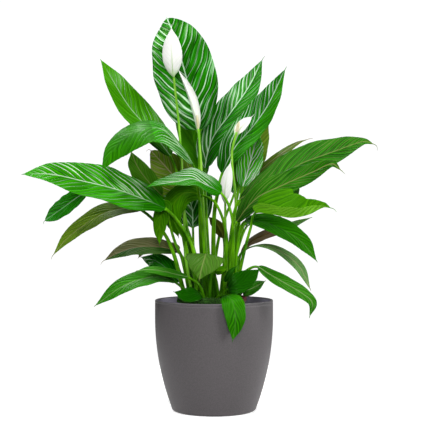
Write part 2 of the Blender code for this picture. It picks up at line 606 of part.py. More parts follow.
def flower(name, stalk, spathe, width, face, curl, spadix_length, spadix_radius):
    """A flower on its stalk: peduncle, spathe behind it and spadix on top of it."""
    (x, y), rest = stalk[0], stalk[1:]
    foot = (x, y, SOIL_TOP - STEM_DEPTH)
    level = (x, y, SOIL_TOP + 1.0)
    path = [Vector(foot)] + smooth_path((level, *rest), PEDUNCLE_SEGMENTS)
    along, ups = faces_along(path, face, len(path) - 1)
    points, rings, faces = [], [], []
    for place, centre in enumerate(path):
        share = place / (len(path) - 1)
        radius = PEDUNCLE_BASE_RADIUS + (PEDUNCLE_TOP_RADIUS - PEDUNCLE_BASE_RADIUS) * share
        side = along[place].cross(ups[place])
        add_ring(points, rings, round_ring(centre, side, ups[place], radius))
    for first, second in zip(rings, rings[1:]):
        bridge(first, second, faces)
    close_end(rings[0], faces)
    close_end(rings[-1], faces)
    add_object("peduncle_" + name, points, faces, "stalk")

    end, ahead, inner = path[-1], along[-1], ups[-1]
    back = inner * (PEDUNCLE_TOP_RADIUS + GAP + BLADE_THICK)
    clear = inner * (spadix_radius + SPADIX_BUMP + GAP + BLADE_THICK)
    base = end - ahead * SPATHE_OVERLAP - back
    route = smooth_path((base, end - clear, *[Vector(point) - clear for point in spathe]), 80)
    picks = [route[round(80 * step / BLADE_SEGMENTS)] for step in range(BLADE_SEGMENTS + 1)]
    along, ups = faces_along(picks, face, BLADE_SEGMENTS // 2)
    points, rings, faces = [], [], []
    side = along[0].cross(ups[0])
    add_ring(points, rings, blade_ring(picks[0], side, ups[0], PEDUNCLE_TOP_RADIUS, WIDE_ACROSS,
                                       BLADE_THICK, 0.0, {"fold": 0, "cup": 0, "wave": 0, "flat": 1}))
    form = {"cup": curl, "base": SPATHE_BASE_SHARPNESS, "end": SPATHE_TIP_SHARPNESS}
    blade_rings(picks, along, ups, width, form, WIDE_ACROSS, points, rings, BLADE_THICK, 0.0)
    for first, second in zip(rings, rings[1:]):
        bridge(first, second, faces)
    close_end(rings[0], faces)
    close_end(rings[-1], faces)
    add_object("spathe_" + name, points, faces, "spathe")

    foot = end + ahead * GAP
    side = ahead.cross(inner)
    points, rings, faces = [], [], []
    for ring in range(SPADIX_RINGS + 1):
        t = ring / SPADIX_RINGS
        taper = math.sqrt(max(1.0 - max(t - SPADIX_TAPER_FROM, 0.0) / SPADIX_TAPER_SPAN,
                              SPADIX_END_SHARE))
        body = spadix_radius * min(1.0, SPADIX_FOOT_SHARE + SPADIX_SWELL * t) * taper
        around = []
        for step in range(SPADIX_SIDES):
            angle = math.tau * (step + 0.5 * (ring % 2)) / SPADIX_SIDES
            radius = body + (SPADIX_BUMP if step % 2 else -SPADIX_BUMP)
            around.append(foot + ahead * (spadix_length * t)
                          + radius * (math.cos(angle) * side + math.sin(angle) * inner))
        add_ring(points, rings, around)
    for first, second in zip(rings, rings[1:]):
        for step in range(SPADIX_SIDES):
            after = (step + 1) % SPADIX_SIDES
            faces.append((first[step], first[after], second[after], second[step]))
    faces += [tuple(reversed(rings[0])), tuple(rings[-1])]
    add_object("spadix_" + name, points, faces, "spadix")


def main():
    for obj in list(bpy.data.objects):
        bpy.data.objects.remove(obj)
    cover_pot()
    nursery_pot()
    soil()
    for row in LEAVES:
        leaf(*row)
    for row in FLOWERS:
        flower(*row)


main()
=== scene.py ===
"""Looks of a potted peace lily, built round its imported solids.

The scene is in metres with +Z up, the origin is the middle of the pot's foot and -Y is the front.
The tables of leaves and flowers are in millimetres.
"""

import math
import random

import bpy
from mathutils import Matrix, Vector


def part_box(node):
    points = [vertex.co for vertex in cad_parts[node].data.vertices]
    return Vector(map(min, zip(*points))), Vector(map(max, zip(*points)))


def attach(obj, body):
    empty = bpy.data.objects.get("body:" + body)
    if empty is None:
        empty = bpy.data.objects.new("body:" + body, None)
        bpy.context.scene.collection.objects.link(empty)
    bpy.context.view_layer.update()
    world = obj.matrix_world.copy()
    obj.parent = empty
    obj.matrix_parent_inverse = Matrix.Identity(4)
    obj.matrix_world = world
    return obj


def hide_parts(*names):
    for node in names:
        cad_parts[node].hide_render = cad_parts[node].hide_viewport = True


bl_info = {
    "name": "Potted Peace Lily",
    "version": (1, 0, 0),
    "blender": (4, 5, 0),
    "location": "View3D > Sidebar > Peace Lily",
    "description": "Builds the pot, compost, leaves and flowers of a potted peace lily",
    "category": "Add Mesh",
}

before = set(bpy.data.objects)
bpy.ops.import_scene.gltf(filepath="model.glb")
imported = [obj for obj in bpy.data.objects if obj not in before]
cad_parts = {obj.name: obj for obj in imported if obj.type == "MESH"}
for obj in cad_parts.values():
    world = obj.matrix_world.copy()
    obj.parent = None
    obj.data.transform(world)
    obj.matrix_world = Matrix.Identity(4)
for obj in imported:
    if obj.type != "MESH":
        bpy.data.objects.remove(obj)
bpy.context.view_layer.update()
POT_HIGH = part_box("cover_pot")[1]
SOIL_LOW, SOIL_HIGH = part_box("soil")

MM = 0.001
TITLE = "Peace Lily"

# The cover pot's form, as in its solid
POT_FOOT_RADIUS = 0.060
POT_CORNER_RADIUS = 0.065
POT_CORNER_HEIGHT = 0.005
POT_STRAIGHT_FROM = 0.140
POT_FLOOR = 0.004

# Finer than the solid: a groove that sets the lip off as a bead (inwards from the rim and down
# from the top), how far above its floor the pot's inner corner ends and its wall begins, the
# height from which the inner wall has its own finish, and a ring within the flat discs
LIP_GROOVE = ((0.0, 0.0046), (0.0004, 0.0040), (0.0, 0.0034))
INNER_CORNER = 0.003
INNER_WALL = 0.008
POT_INSIDE_FROM = 0.06
POT_MIDDLE_RING = 0.030

# How every stem stands in the compost, as in the solids (mm)
SOIL_TOP = 166.0
STEM_DEPTH = 12.0

# The compost plug: radius of its foot as in the solid, how far its top rises and falls and its
# edge lies low, and the draw for it
SOIL_FOOT_RADIUS = 0.0398
SOIL_HEAVE = (-0.0012, 0.0008)
SOIL_EDGE = -0.0003
SOIL_DRAW = 7

# Form of stems and blades, as in the solids (mm)
GAP = 0.3
SOLID_BLADE_THICK = 0.8
PETIOLE_BASE_RADIUS = 3.1
PETIOLE_NECK_RADIUS = 1.8
BASE_SHARPNESS = 0.62
TIP_SHARPNESS = 0.82
TIP_RADIUS = 0.55
SMALL_LEAF_WIDTH = 31.0
PEDUNCLE_BASE_RADIUS = 2.4
PEDUNCLE_TOP_RADIUS = 1.7
SPATHE_OVERLAP = 6.0
SPATHE_BASE_SHARPNESS = 0.8
SPATHE_TIP_SHARPNESS = 0.95
SPADIX_BUMP = 0.35

# Finer than the solids (mm): how far the rib's ridge spreads and its groove sinks, how much a
# drip tip thins, the share of a blade that still has the petiole's skin, and the length of a
# spathe's drip tip and its radius
RIB_SPREAD = 1.7
RIB_GROOVE = 0.35
DRIP_TAPER = 0.65
NECK_SHARE = 0.02
SPATHE_DRIP = 5.0
SPATHE_TIP_RADIUS = 0.45

# A spadix: its girth at the foot and how fast it swells, where it tapers and over what share, and
# its blunt end. Florets, in floret radii: how far their middles lie below the outline, and how
# far apart they are along it and round it. Then the draw of their sizes
SPADIX_FOOT_SHARE = 0.55
SPADIX_SWELL = 3.0
SPADIX_TAPER_FROM = 0.7
SPADIX_TAPER_SPAN = 0.33
SPADIX_END_SHARE = 0.1
FLORET_SUNK = 0.6
FLORET_AHEAD = 1.35
FLORET_ASIDE = 1.6
FLORET_SEED = 3

# Leaf skins: fine veins between two side veins, which skins count as sharply lined, where the
# painted silky highlight begins and is full on them and on the others, the relief in metres, and the
# share of a blade over which its own painted highlight fades in and out
FINE_VEINS = 4.0
SHARP_LINES = 0.85
SHARP_SILK = (0.84, 0.92)
SOFT_SILK = (0.74, 0.98)
SKIN_DEPTH = 0.0001
PLEAT_DEPTH = 0.0012
SHEEN_FADE = 0.1

# Moss over the front of the nursery pot's rim (mm, degrees): the middle of its arc along X, where
# the arc starts and stops, its section as radius and height, its largest tuft in metres and how densely
# tufts are strewn on a square metre
MOSS_X = -2.0
MOSS_FROM = -168
MOSS_TO = -50
MOSS_SECTION = ((48.0, 168.0), (48.5, 172.5), (51.0, 173.6), (54.0, 171.0), (56.0, 165.0))
MOSS_TUFT = 0.0019
MOSS_DENSITY = 260000.0

# The white floor, just below the pot's foot
FLOOR_REACH = 0.5
FLOOR_HEIGHT = -0.0002

# A blade this wide (mm) has its side veins at the plain slant, and full pleats. The broader the
# blade, the wider the slant, by so many degrees a millimetre
COMMON_WIDTH = 60
SLANT_WIDENS = 0.4

# Ripple of a blade's halves: its share of the half width, and waves from neck to tip
RIPPLE_SIZES = (0.006, 0.018)
RIPPLE_RATES = (1.6, 3.2)

# How finely the meshes are cut
LEAF_ACROSS = 32
SMALL_LEAF_ACROSS = 16
BLADE_STEPS = 96
PETIOLE_STEPS = 20
DRIP_STEPS = 6
SPAN_STEPS = 16
FINE_STEPS = 400
STALK_SIDES = 14
STALK_STEPS = 60
SPATHE_STEPS = 64
POT_SIDES = 144
POT_ROWS = 30
CORNER_STEPS = 8
LIP_STEPS = 6
SOIL_SIDES = 64
SOIL_ROWS = 14
MOSS_STEPS = 40

# Every leaf: name, petiole points from the soil to the neck, blade points from past the neck to
# the tip, full width, the way its upper face looks, and what is special about it.
# fold lifts both halves from the rib (degrees), cup curls the margins up (share of the half
# width), wave ripples them, twist turns the blade from its neck to its tip (degrees), and base
# and end say how sharply it narrows to its neck and to its tip. stem makes a petiole stouter.
LEAVES = (
    ("leaf_tall_back",
     ((-10, 16), (-19, 14, 244), (-21, 13, 321), (-22, 13, 383), (-23, 13, 424)),
     ((-33, 13, 464), (-43, 15, 510), (-56, 24, 556), (-67, 36, 589), (-74, 48, 606)),
     97, (-0.15, -1, 0.1), {"fold": 8, "base": 0.55, "end": 0.64, "stem": 1.4}),
    ("leaf_upper_left",
     ((-21, 4), (-32, 4, 229), (-41, 4, 275), (-55, 4, 353), (-66, 6, 385)),
     ((-99, 12, 427), (-134, 22, 468), (-176, 32, 538)),
     62, (0.55, -0.72, 0.41), {"fold": 14}),
    ("leaf_arching_left",
     ((-9, -19), (-17, -22, 275), (-24, -28, 336), (-31, -31, 371)),
     ((-55, -39, 404), (-79, -46, 425), (-111, -52, 422), (-145, -60, 396), (-163, -66, 366)),
     78, (0, -0.5, 0.87), {"fold": -8, "twist": -14, "base": 0.55, "end": 0.64}),
    ("leaf_long_left",
     ((-26, -23), (-30, -24, 241), (-46, -25, 275), (-70, -30, 304)),
     ((-119, -42, 326), (-152, -53, 337), (-194, -65, 347), (-236, -78, 356), (-276, -91, 356)),
     74, (0.1, -0.72, 0.68), {"fold": 8, "wave": 0.05, "stem": 1.2}),
    ("leaf_far_left",
     ((-26, 27), (-46, 38, 266), (-85, 50, 310), (-145, 60, 336), (-200, 67, 334)),
     ((-216, 70, 326), (-243, 76, 307), (-271, 84, 288)),
     36, (-0.1, -0.8, 0.55), {"fold": 6, "base": 0.5, "end": 0.55}),
    ("leaf_left_droop",
     ((-40, -3), (-47, -6, 184), (-61, -8, 237), (-77, -8, 271), (-108, -10, 303)),
     ((-133, -12, 307), (-163, -16, 301), (-194, -22, 283), (-220, -28, 262), (-240, -34, 238)),
     44, (-0.1, -0.55, 0.82), {"fold": 6, "stem": 1.2}),
    ("leaf_dark_left",
     ((-25, 15), (-44, 18, 243), (-56, 19, 298), (-80, 20, 326)),
     ((-101, 23, 348), (-119, 33, 372), (-130, 47, 396)),
     36, (0.3, -0.85, 0.4), {}),
    ("leaf_herringbone",
     ((-17, 31), (-31, 40, 230), (-33, 42, 276)),
     ((-35, 42, 310), (-46, 42, 335), (-70, 43, 366), (-99, 46, 398)),
     72, (0.1, -1, 0.15), {"fold": 8, "base": 0.45, "end": 0.62}),
    ("leaf_glossy_centre",
     ((24, -22), (28, -40, 230), (28, -46, 284), (22, -46, 311), (12, -47, 328)),
     ((-12, -53, 342), (-31, -59, 350), (-53, -66, 346), (-78, -76, 342), (-99, -88, 337)),
     48, (0, -0.55, 0.85), {"fold": 10, "twist": 40, "base": 0.45}),
    ("leaf_pendant",
     ((10, -15), (18, -27, 230), (18, -29, 272), (3, -25, 314), (-15, -19, 326)),
     ((-42, -15, 331), (-58, -13, 318), (-64, -12, 295), (-54, -12, 264)),
     40, (-0.2, -0.8, 0.5), {"fold": -4}),
    ("leaf_pendant_left",
     ((-36, 13), (-49, -4, 232), (-57, -13, 250), (-64, -18, 272), (-69, -20, 294)),
     ((-73, -21, 311), (-79, -22, 298), (-82, -23, 276), (-82, -24, 254)),
     24, (-0.1, -0.95, 0.3), {}),
    ("leaf_upper_right_back",
     ((-1, 26), (-9, 27, 244), (-12, 28, 306), (-14, 28, 366)),
     ((-3, 30, 414), (25, 38, 455), (55, 50, 499), (76, 62, 542)),
     56, (-0.35, -0.9, 0.25), {"fold": 10}),
    ("leaf_upper_right",
     ((1, 5), (-1, 5, 240), (1, 5, 306), (7, 4, 336), (12, 4, 358)),
     ((32, 1, 400), (58, -6, 430), (81, -14, 462), (107, -24, 516)),
     62, (-0.45, -0.75, 0.45), {"fold": 12, "stem": 1.4}),
    ("leaf_striped",
     ((26, -3), (33, -3, 245), (40, 0, 298), (44, 2, 339)),
     ((50, 3, 358), (56, 1, 380), (62, -3, 402), (68, -9, 424)),
     43, (-0.3, -0.9, 0.3), {"fold": 8}),
    ("leaf_behind_striped",
     ((20, 19), (28, 20, 244), (33, 20, 298), (39, 20, 343)),
     ((49, 22, 366), (59, 26, 390), (70, 32, 415), (85, 40, 442)),
     46, (0.5, -0.8, 0.3), {"fold": 4}),
    ("leaf_big_right",
     ((31, -11), (24, -15, 238), (28, -17, 283), (37, -19, 317)),
     ((72, -24, 341), (100, -28, 356), (131, -32, 374), (183, -40, 393), (222, -46, 406),
      (237, -49, 402)),
     58, (-0.35, -0.8, 0.5), {"fold": 8, "stem": 1.2, "base": 0.9, "end": 0.92}),
    ("leaf_front_right",
     ((22, -13), (25, -26, 250), (33, -38, 284)),
     ((62, -52, 321), (97, -64, 339), (145, -78, 360), (171, -88, 371), (183, -92, 362)),
     44, (-0.3, -0.8, 0.5), {"fold": 6}),
    ("leaf_edge_on",
     ((35, 6), (34, 7, 260), (40, 8, 320), (47, 8, 345)),
     ((73, 9, 367), (96, 14, 386), (130, 28, 409), (146, 36, 415)),
     24, (-0.45, -0.5, 0.75), {}),
    ("leaf_raised_right",
     ((28, -26), (38, -47, 212), (46, -60, 249), (54, -68, 279), (60, -72, 300)),
     ((85, -84, 299), (110, -95, 294), (135, -105, 298), (156, -113, 308), (166, -118, 307)),
     82, (0, -0.45, 0.89), {"fold": 48, "base": 0.5, "end": 0.95}),
    ("leaf_glossy_right",
     ((33, -18), (32, -33, 216), (36, -37, 255), (44, -38, 286)),
     ((71, -44, 288), (101, -54, 276), (129, -64, 257), (150, -72, 230)),
     45, (0.25, -0.65, 0.75), {"fold": 6}),
    ("leaf_brown_underside",
     ((38, -3), (38, -8, 215), (40, -10, 236)),
     ((54, -8, 255), (78, -2, 267), (117, 10, 280), (150, 22, 293)),
     34, (-0.35, 0.45, 0.8), {}),
    ("leaf_turned_right",
     ((38, -10), (36, -20, 205), (36, -25, 232)),
     ((52, -28, 248), (77, -32, 251), (101, -36, 242), (127, -42, 220), (143, -46, 187)),
     30, (0.2, -0.35, 0.9), {"twist": 60}),
    ("leaf_low_right",
     ((19, -32), (24, -38, 182), (34, -48, 194), (46, -56, 213), (62, -61, 221)),
     ((80, -66, 211), (101, -74, 199), (128, -84, 183), (142, -92, 170), (138, -96, 151)),
     30, (0.3, -0.65, 0.7), {"fold": 4}),
    ("leaf_dark_front",
     ((10, -34), (15, -42, 181), (21, -50, 187)),
     ((30, -60, 193), (44, -66, 200), (56, -69, 208), (66, -71, 217)),
     34, (-0.3, -0.85, 0.35), {"fold": 8}),
    ("leaf_behind_dark_front",
     ((35, 15), (44, 4, 180)),
     ((54, -8, 184), (66, -14, 190), (77, -18, 197)),
     26, (-0.2, -0.7, 0.7), {}),
    ("leaf_over_rim",
     ((2, -37), (7, -45, 176), (15, -56, 178)),
     ((21, -74, 178), (27, -91, 171), (31, -98, 151), (30, -99, 134), (27, -98, 117)),
     33, (0, -0.75, 0.65), {"fold": -4, "base": 0.72}),
    ("leaf_low_left",
     ((-23, -31), (-21, -44, 180)),
     ((-28, -56, 181), (-43, -62, 179), (-58, -66, 184)),
     28, (0, -0.75, 0.65), {}),
    ("leaf_left_low",
     ((-34, -17), (-44, -28, 184), (-56, -34, 195)),
     ((-75, -40, 204), (-95, -48, 205), (-131, -62, 194), (-173, -78, 165)),
     38, (-0.1, -0.6, 0.8), {"fold": 4}),
    ("leaf_bright_edge",
     ((-14, -31), (-22, -42, 192), (-38, -47, 204)),
     ((-56, -50, 209), (-72, -53, 213), (-94, -58, 216.5), (-113, -63, 215)),
     24, (0, -0.5, 0.85), {}),
    ("leaf_dark_low_left",
     ((-40, 8), (-46, 14, 182), (-52, 20, 193)),
     ((-70, 28, 211), (-90, 36, 225), (-114, 46, 231)),
     36, (0.1, -0.8, 0.55), {}),
    ("leaf_olive_left",
     ((-30, 5), (-40, 7, 215), (-54, 8, 239)),
     ((-84, 8, 248), (-116, 6, 248), (-142, 2, 241), (-167, -2, 228)),
     42, (0, -0.6, 0.8), {"fold": 4}),
    ("leaf_facing_front",
     ((-7, -34), (-6, -38, 205), (-7, -44, 232)),
     ((-11, -62, 240), (-14, -80, 233), (-18, -93, 219), (-21, -99, 204)),
     58, (0, -0.7, 0.75), {"fold": -8, "base": 0.5}),
    ("leaf_small_bright",
     ((7, -25), (4, -27, 195), (1, -27, 211)),
     ((9, -30, 214), (19, -34, 216)),
     16, (0, -0.8, 0.6), {}),
    ("leaf_small_dark",
     ((16, -23), (15, -31, 185), (16, -38, 197)),
     ((22, -46, 209), (33, -52, 221)),
     12, (-0.4, -0.7, 0.5), {}),
    ("leaf_brown_back",
     ((10, 34), (16, 42, 230), (15, 44, 260)),
     ((8, 45, 276), (-8, 46, 294)),
     20, (0.4, 0.85, 0.2), {}),
    ("leaf_young_rolled",
     ((-18, -12), (-39, -18, 236), (-43, -20, 256)),
     ((-52, -22, 272), (-61, -24, 288)),
     16, (0.4, -0.6, 0.6), {"fold": 30}),
    ("leaf_back_left",
     ((-13, 39), (-36, 74, 256), (-56, 98, 304)),
     ((-80, 118, 336), (-104, 140, 346), (-124, 160, 342), (-138, 178, 326)),
     56, (-0.2, 0.3, 0.9), {"fold": 8}),
    ("leaf_back_right",
     ((10, 40), (34, 68, 246), (58, 94, 300)),
     ((84, 118, 334), (108, 142, 345), (128, 164, 341), (142, 182, 326)),
     56, (0.2, 0.3, 0.9), {"fold": 8}),
    ("leaf_back_middle",
     ((-5, 38), (8, 66, 262), (32, 98, 330)),
     ((44, 120, 366), (54, 148, 396), (58, 178, 408), (60, 206, 398)),
     46, (0, 0.45, 0.9), {"fold": 8}),
    ("leaf_back_upright",
     ((-10, 27), (-16, 50, 260), (-20, 66, 350)),
     ((-29, 76, 400), (-40, 84, 450), (-46, 96, 500), (-50, 112, 540)),
     50, (0.2, 1, 0.3), {"fold": 8}),
    ("leaf_back_upright_right",
     ((10, 24), (26, 44, 260), (38, 60, 330)),
     ((50, 74, 372), (62, 88, 412), (72, 104, 446), (78, 122, 470)),
     56, (-0.2, 1, 0.4), {"fold": 8}),
    ("leaf_back_low_left",
     ((-22, 36), (-27, 42, 182), (-44, 66, 218), (-58, 88, 240)),
     ((-80, 112, 252), (-106, 138, 246), (-126, 158, 226)),
     40, (-0.3, 0.4, 0.85), {"fold": 4}),
    ("leaf_back_low_right",
     ((19, 34), (36, 62, 236), (52, 84, 278)),
     ((74, 108, 292), (98, 134, 294), (118, 154, 281)),
     36, (0.3, 0.3, 0.95), {"fold": 4}),
)

# Every flower: name, stalk points from the soil to the spadix's foot, spathe points from its
# base to its tip, the spathe's full width, the way its inner face looks, how far its margins
# curl in, and the spadix's length and radius.
FLOWERS = (
    ("tall", ((-31, -8), (-43, -5, 231), (-46, -4, 306), (-53, 0, 427), (-62, -4, 513)),
     ((-63, -8, 530), (-64, -9, 553), (-64, -8, 581)),
     35, (0.1, 1, 0.1), 0.35, 26, 3.2),
    ("rolled", ((-8, -8), (-12, -8, 245), (-17, -8, 321), (-20, -8, 381), (-24, -8, 428)),
     ((-28, -10, 450), (-36, -14, 478), (-52, -22, 516)),
     19, (0.5, -0.8, 0.3), 0.9, 20, 1.6),
    ("small", ((15, 5), (27, -6, 260), (33, -12, 313), (27, -18, 388), (34, -20, 422)),
     ((41, -19, 431), (49, -20, 439), (56, -21, 446)),
     20, (-0.35, -0.85, 0.35), 0.3, 15, 2.3),
    ("low", ((13, -6), (18, -16, 248), (17, -22, 290), (17, -24, 321)),
     ((18, -26, 339), (21, -27, 357), (26, -28, 376)),
     21, (0.3, 0.9, 0.1), 0.35, 20, 2.2),
)

# Leaf skins: name, colour in the shade and in the light, colour of veins and of the painted wax
# highlights, roughness, how much it mirrors, how strongly the painted wax highlights draw the side
# veins, and a painted glow that stands in for light coming through
UPPER_SKINS = {
    # Healthy blades: a wet look, with painted white highlights of wax that break up along the creases
    "fresh": ("glossy green cuticle", "#186400", "#3cae00", "#e8ffe2", 0.24, 0.4, 0.95),
    "deep": ("dark green cuticle", "#0c4800", "#229800", "#dcffdc", 0.22, 0.4, 0.9),
    "spring": ("spring green cuticle", "#2a6c00", "#48a000", "#ecffe4", 0.34, 0.2, 0.8),
    # Blades with painted reflections of the lamps: wide white bands over bright green
    "bright": ("wet green cuticle", "#208c00", "#54cc00", "#ffffff", 0.24, 0.1, 1.4),
    "crisp": ("sunlit green cuticle", "#186e00", "#3aa000", "#ffffff", 0.3, 0.05, 1.4),
    # Even, satin blades whose painted vein highlights are only a little paler
    "plain": ("mid green cuticle", "#145400", "#369400", "#8aa868", 0.34, 0.3, 0.5),
    "ribbed": ("ribbed green cuticle", "#063200", "#2c8800", "#84904c", 0.3, 0.3, 0.6),
    "supple": ("smooth green cuticle", "#0a3e00", "#186000", "#34741c", 0.24, 0.5, 0.3),
    # Soft new blades, yellow-green and dull
    "young": ("young bright cuticle", "#2c6c00", "#509a00", "#5c9410", 0.4, 0.2, 0.4),
    # An underside with a painted glow that stands in for light coming through the blade from behind
    "lit": ("underside with light coming through", "#60ac10", "#80c62e", "#246400", 0.5, 0.15, 3.2,
            0.5),
    # Old blades near the pot: the wax is gone, and olive, tan or brown shows with buff veins
    "dull": ("dull green cuticle", "#2c6008", "#4c8c16", "#7c8a4c", 0.4, 0.2, 0.25),
    "dusty": ("dusty green cuticle", "#2e560e", "#4c7e22", "#7c8a4c", 0.4, 0.2, 0.25),
    "shaded": ("shaded green cuticle", "#144802", "#2c740a", "#a09070", 0.36, 0.2, 0.6),
    "tanned": ("tanned green cuticle", "#565c30", "#868c5c", "#a8906c", 0.4, 0.2, 0.6),
    "olive": ("ageing olive cuticle", "#3e620a", "#74981e", "#b4a280", 0.4, 0.2, 0.6),
    "faded": ("faded cuticle", "#467838", "#7aac5e", "#b0a080", 0.4, 0.3, 0.4),
    "brown": ("browned cuticle", "#5c4420", "#8a7048", "#b09874", 0.4, 0.2, 0.5),
}

# Undersides are paler and matt, and the lines on them are veins rather than painted wax highlights
UNDER_SKINS = {
    "fresh": ("matt green underside", "#327c04", "#489408", "#64a030", 0.5, 0.15, 0.4),
    "olive": ("olive underside", "#4c5016", "#6a7022", "#7e6c44", 0.5, 0.15, 0.5),
    "brown": ("brown underside", "#54421f", "#6e5836", "#84704a", 0.5, 0.15, 0.5),
    "young": ("pale bright underside", "#5caa10", "#7cc22c", "#2f7a08", 0.5, 0.15, 1.6),
}

# Leaves by their upper skin. The others are fresh.
WEARERS = {
    "bright": ("striped",),
    "ribbed": ("big_right", "front_right"),
    "deep": ("tall_back", "upper_right", "upper_right_back", "dark_low_left", "back_upright",
             "back_left", "far_left"),
    "plain": ("glossy_right", "over_rim", "left_low", "low_right", "back_right", "bright_edge",
              "behind_dark_front", "back_upright_right"),
    "olive": ("left_droop", "edge_on", "brown_back", "back_low_left", "herringbone",
              "behind_striped"),
    "brown": ("brown_underside",),
    "shaded": ("olive_left",),
    "crisp": ("glossy_centre",),
    "young": ("young_rolled", "small_bright", "pendant_left", "raised_right", "pendant"),
    "spring": ("upper_left",),
    "dull": ("dark_left",),
    "dusty": ("facing_front",),
    "supple": ("dark_front", "small_dark", "low_left"),
    "faded": ("turned_right",),
}

# Leaves that change their skin: the second skin, where it starts and stops along the blade, and
# across it from -1 at the left margin to 1 at the right, seen with the tip up
SECOND_SKINS = {
    "herringbone": ("deep", 0.0, 0.5, -1.0, 1.0),
    "olive_left": ("tanned", 0.0, 1.0, 0.0, 1.0),
    "brown_underside": ("young", 0.72, 1.0, -1.0, 1.0),
    "arching_left": ("plain", 0.46, 1.0, -1.0, 1.0),
    "upper_right": ("fresh", 0.0, 1.0, 0.05, 1.0),
    "raised_right": ("lit", 0.0, 1.0, 2.0, 2.0),
}

# Leaves whose underside takes the second skin too
TURNED = ("brown_underside", "raised_right")

# Where a leaf's thin drip tip ends, from the end of its blade
DRIP_TIPS = {
    "big_right": (3, 0, -9),
    "front_right": (5, -1, -5),
    "edge_on": (7, 1, 1),
    "raised_right": (6, -2, -6),
    "upper_right": (2, 0, 3),
    "upper_right_back": (4, 0, 5),
    "left_droop": (-2, -1, -6),
    "olive_left": (-4, -1, -6),
    "herringbone": (-6, -1, -3),
    "far_left": (0, 0, -5),
    "tall_back": (-1, 0, 1),
}
PLAIN_DRIP = (0, 0, -1)
DRIP_LENGTH = 2.0

# The way that a blade faces where the painted wax highlight in its creases shows most
PAINTED_SHEEN_WAY = Vector((-0.2, -0.65, 0.73))

# Leaves with their own painted wax highlight: its share left and right of the rib, seen with the
# tip up, and where along the blade it starts and stops
PAINTED_SHEEN = {
    "tall_back": (1.3, 0.85, 0.05, 1.1),
    "striped": (0.9, 1.2, 0.0, 1.1),
    "glossy_centre": (0.3, 0.9, 0.15, 0.85),
    "herringbone": (1.2, 1.0, 0.0, 1.1),
    "upper_right": (1.3, 0.3, 0.1, 0.95),
    "upper_right_back": (1.4, 0.4, 0.0, 0.95),
    "glossy_right": (0.2, 0.4, 0.5, 0.95),
    "raised_right": (0.4, 0.4, 0.0, 1.1),
    "long_left": (0.4, 1.0, 0.15, 0.9),
    "arching_left": (1.0, 1.3, 0.0, 0.42),
    "upper_left": (0.1, 0.5, 0.0, 0.85),
    "big_right": (0.8, 0.6, 0.0, 1.1),
    "far_left": (0.2, 0.3, 0.0, 1.1),
    "dark_front": (0.02, 0.05, 0.0, 1.1),
    "dark_low_left": (0.15, 0.1, 0.0, 1.1),
    "left_low": (0.5, 0.3, 0.0, 1.1),
    "left_droop": (0.35, 0.35, 0.0, 1.1),
    "over_rim": (0.1, 0.1, 0.0, 1.1),
    "low_left": (0.1, 0.1, 0.0, 1.1),
}

# Soft studio lamps: name, place, the point they look at, side in metres and power in watts
LAMPS = (
    ("key", (-0.8, -1.4, 1.9), (0, 0, 0.35), 0.35, 22),
    ("top", (-0.2, -0.4, 2.3), (0, 0, 0.35), 0.4, 14),
    ("back", (-0.6, 0.9, 1.7), (0, 0, 0.35), 0.4, 8),
    ("side", (-1.9, -0.8, 0.6), (0, 0, 0.35), 0.5, 5),
    ("fill", (1.6, -1.1, 0.7), (0, 0, 0.25), 0.6, 20),
    ("front", (0.1, -2.0, 0.9), (0, 0, 0.3), 0.5, 12),
    ("edge", (1.4, 0.5, 0.5), (0, 0, 0.12), 0.4, 7),
)


def linear(code):
    """A linear colour with alpha from an sRGB hex code."""
    shares = [int(code[place:place + 2], 16) / 255 for place in (1, 3, 5)]
    return (*[c / 12.92 if c <= 0.04045 else ((c + 0.055) / 1.055) ** 2.4 for c in shares], 1.0)


def add(tree, kind, inputs=None, **settings):
    """Adds a node with its settings, and sets or links its inputs."""
    node = tree.nodes.new(kind)
    for name, value in settings.items():
        setattr(node, name, value)
    for key, value in (inputs or {}).items():
        if isinstance(value, bpy.types.NodeSocket):
            tree.links.new(value, node.inputs[key])
        else:
            node.inputs[key].default_value = value
    return node


def work(tree, operation, first, second=0.0, third=0.0, clamp=False):
    """The result of a Math node."""
    return add(tree, "ShaderNodeMath", {0: first, 1: second, 2: third}, operation=operation,
               use_clamp=clamp).outputs[0]


def ramp(tree, value, low, high, bottom=0.0, top=1.0, soft=False):
    """Runs from bottom where the value is low to top where it is high."""
    return add(tree, "ShaderNodeMapRange", {0: value, 1: low, 2: high, 3: bottom, 4: top},
               interpolation_type="SMOOTHSTEP" if soft else "LINEAR").outputs[0]


def blend(tree, share, first, second):
    """A colour between two, which are hex codes or sockets."""
    first, second = [linear(c) if isinstance(c, str) else c for c in (first, second)]
    return add(tree, "ShaderNodeMix", {"Factor": share, 6: first, 7: second},
               data_type="RGBA").outputs[2]


def notes_of(tree, *names):
    """The numbers that the mesh carries under these names."""
    return [add(tree, "ShaderNodeAttribute", attribute_name=name).outputs["Fac"] for name in names]


def noise(tree, place, scale, detail=2.0, stretch=None, roughness=0.5):
    """Noise at this many waves a metre, or at its own rate along each axis."""
    if stretch:
        place = add(tree, "ShaderNodeMapping", {0: place, 3: stretch}).outputs[0]
    return add(tree, "ShaderNodeTexNoise", {"Vector": place, "Scale": scale, "Detail": detail,
                                            "Roughness": roughness}).outputs[0]


def own_place(tree):
    """Where on its own object a point of the surface lies."""
    return add(tree, "ShaderNodeTexCoord").outputs["Object"]


def new_material(name, roughness, **sockets):
    """An empty material with its Principled shader, whose plain sockets are set here."""
    material = bpy.data.materials.new(name)
    material.use_nodes = True
    shader = material.node_tree.nodes["Principled BSDF"]
    shader.inputs["Roughness"].default_value = roughness
    for key, value in sockets.items():
        shader.inputs[key.replace("_", " ")].default_value = value
    return material, material.node_tree, shader


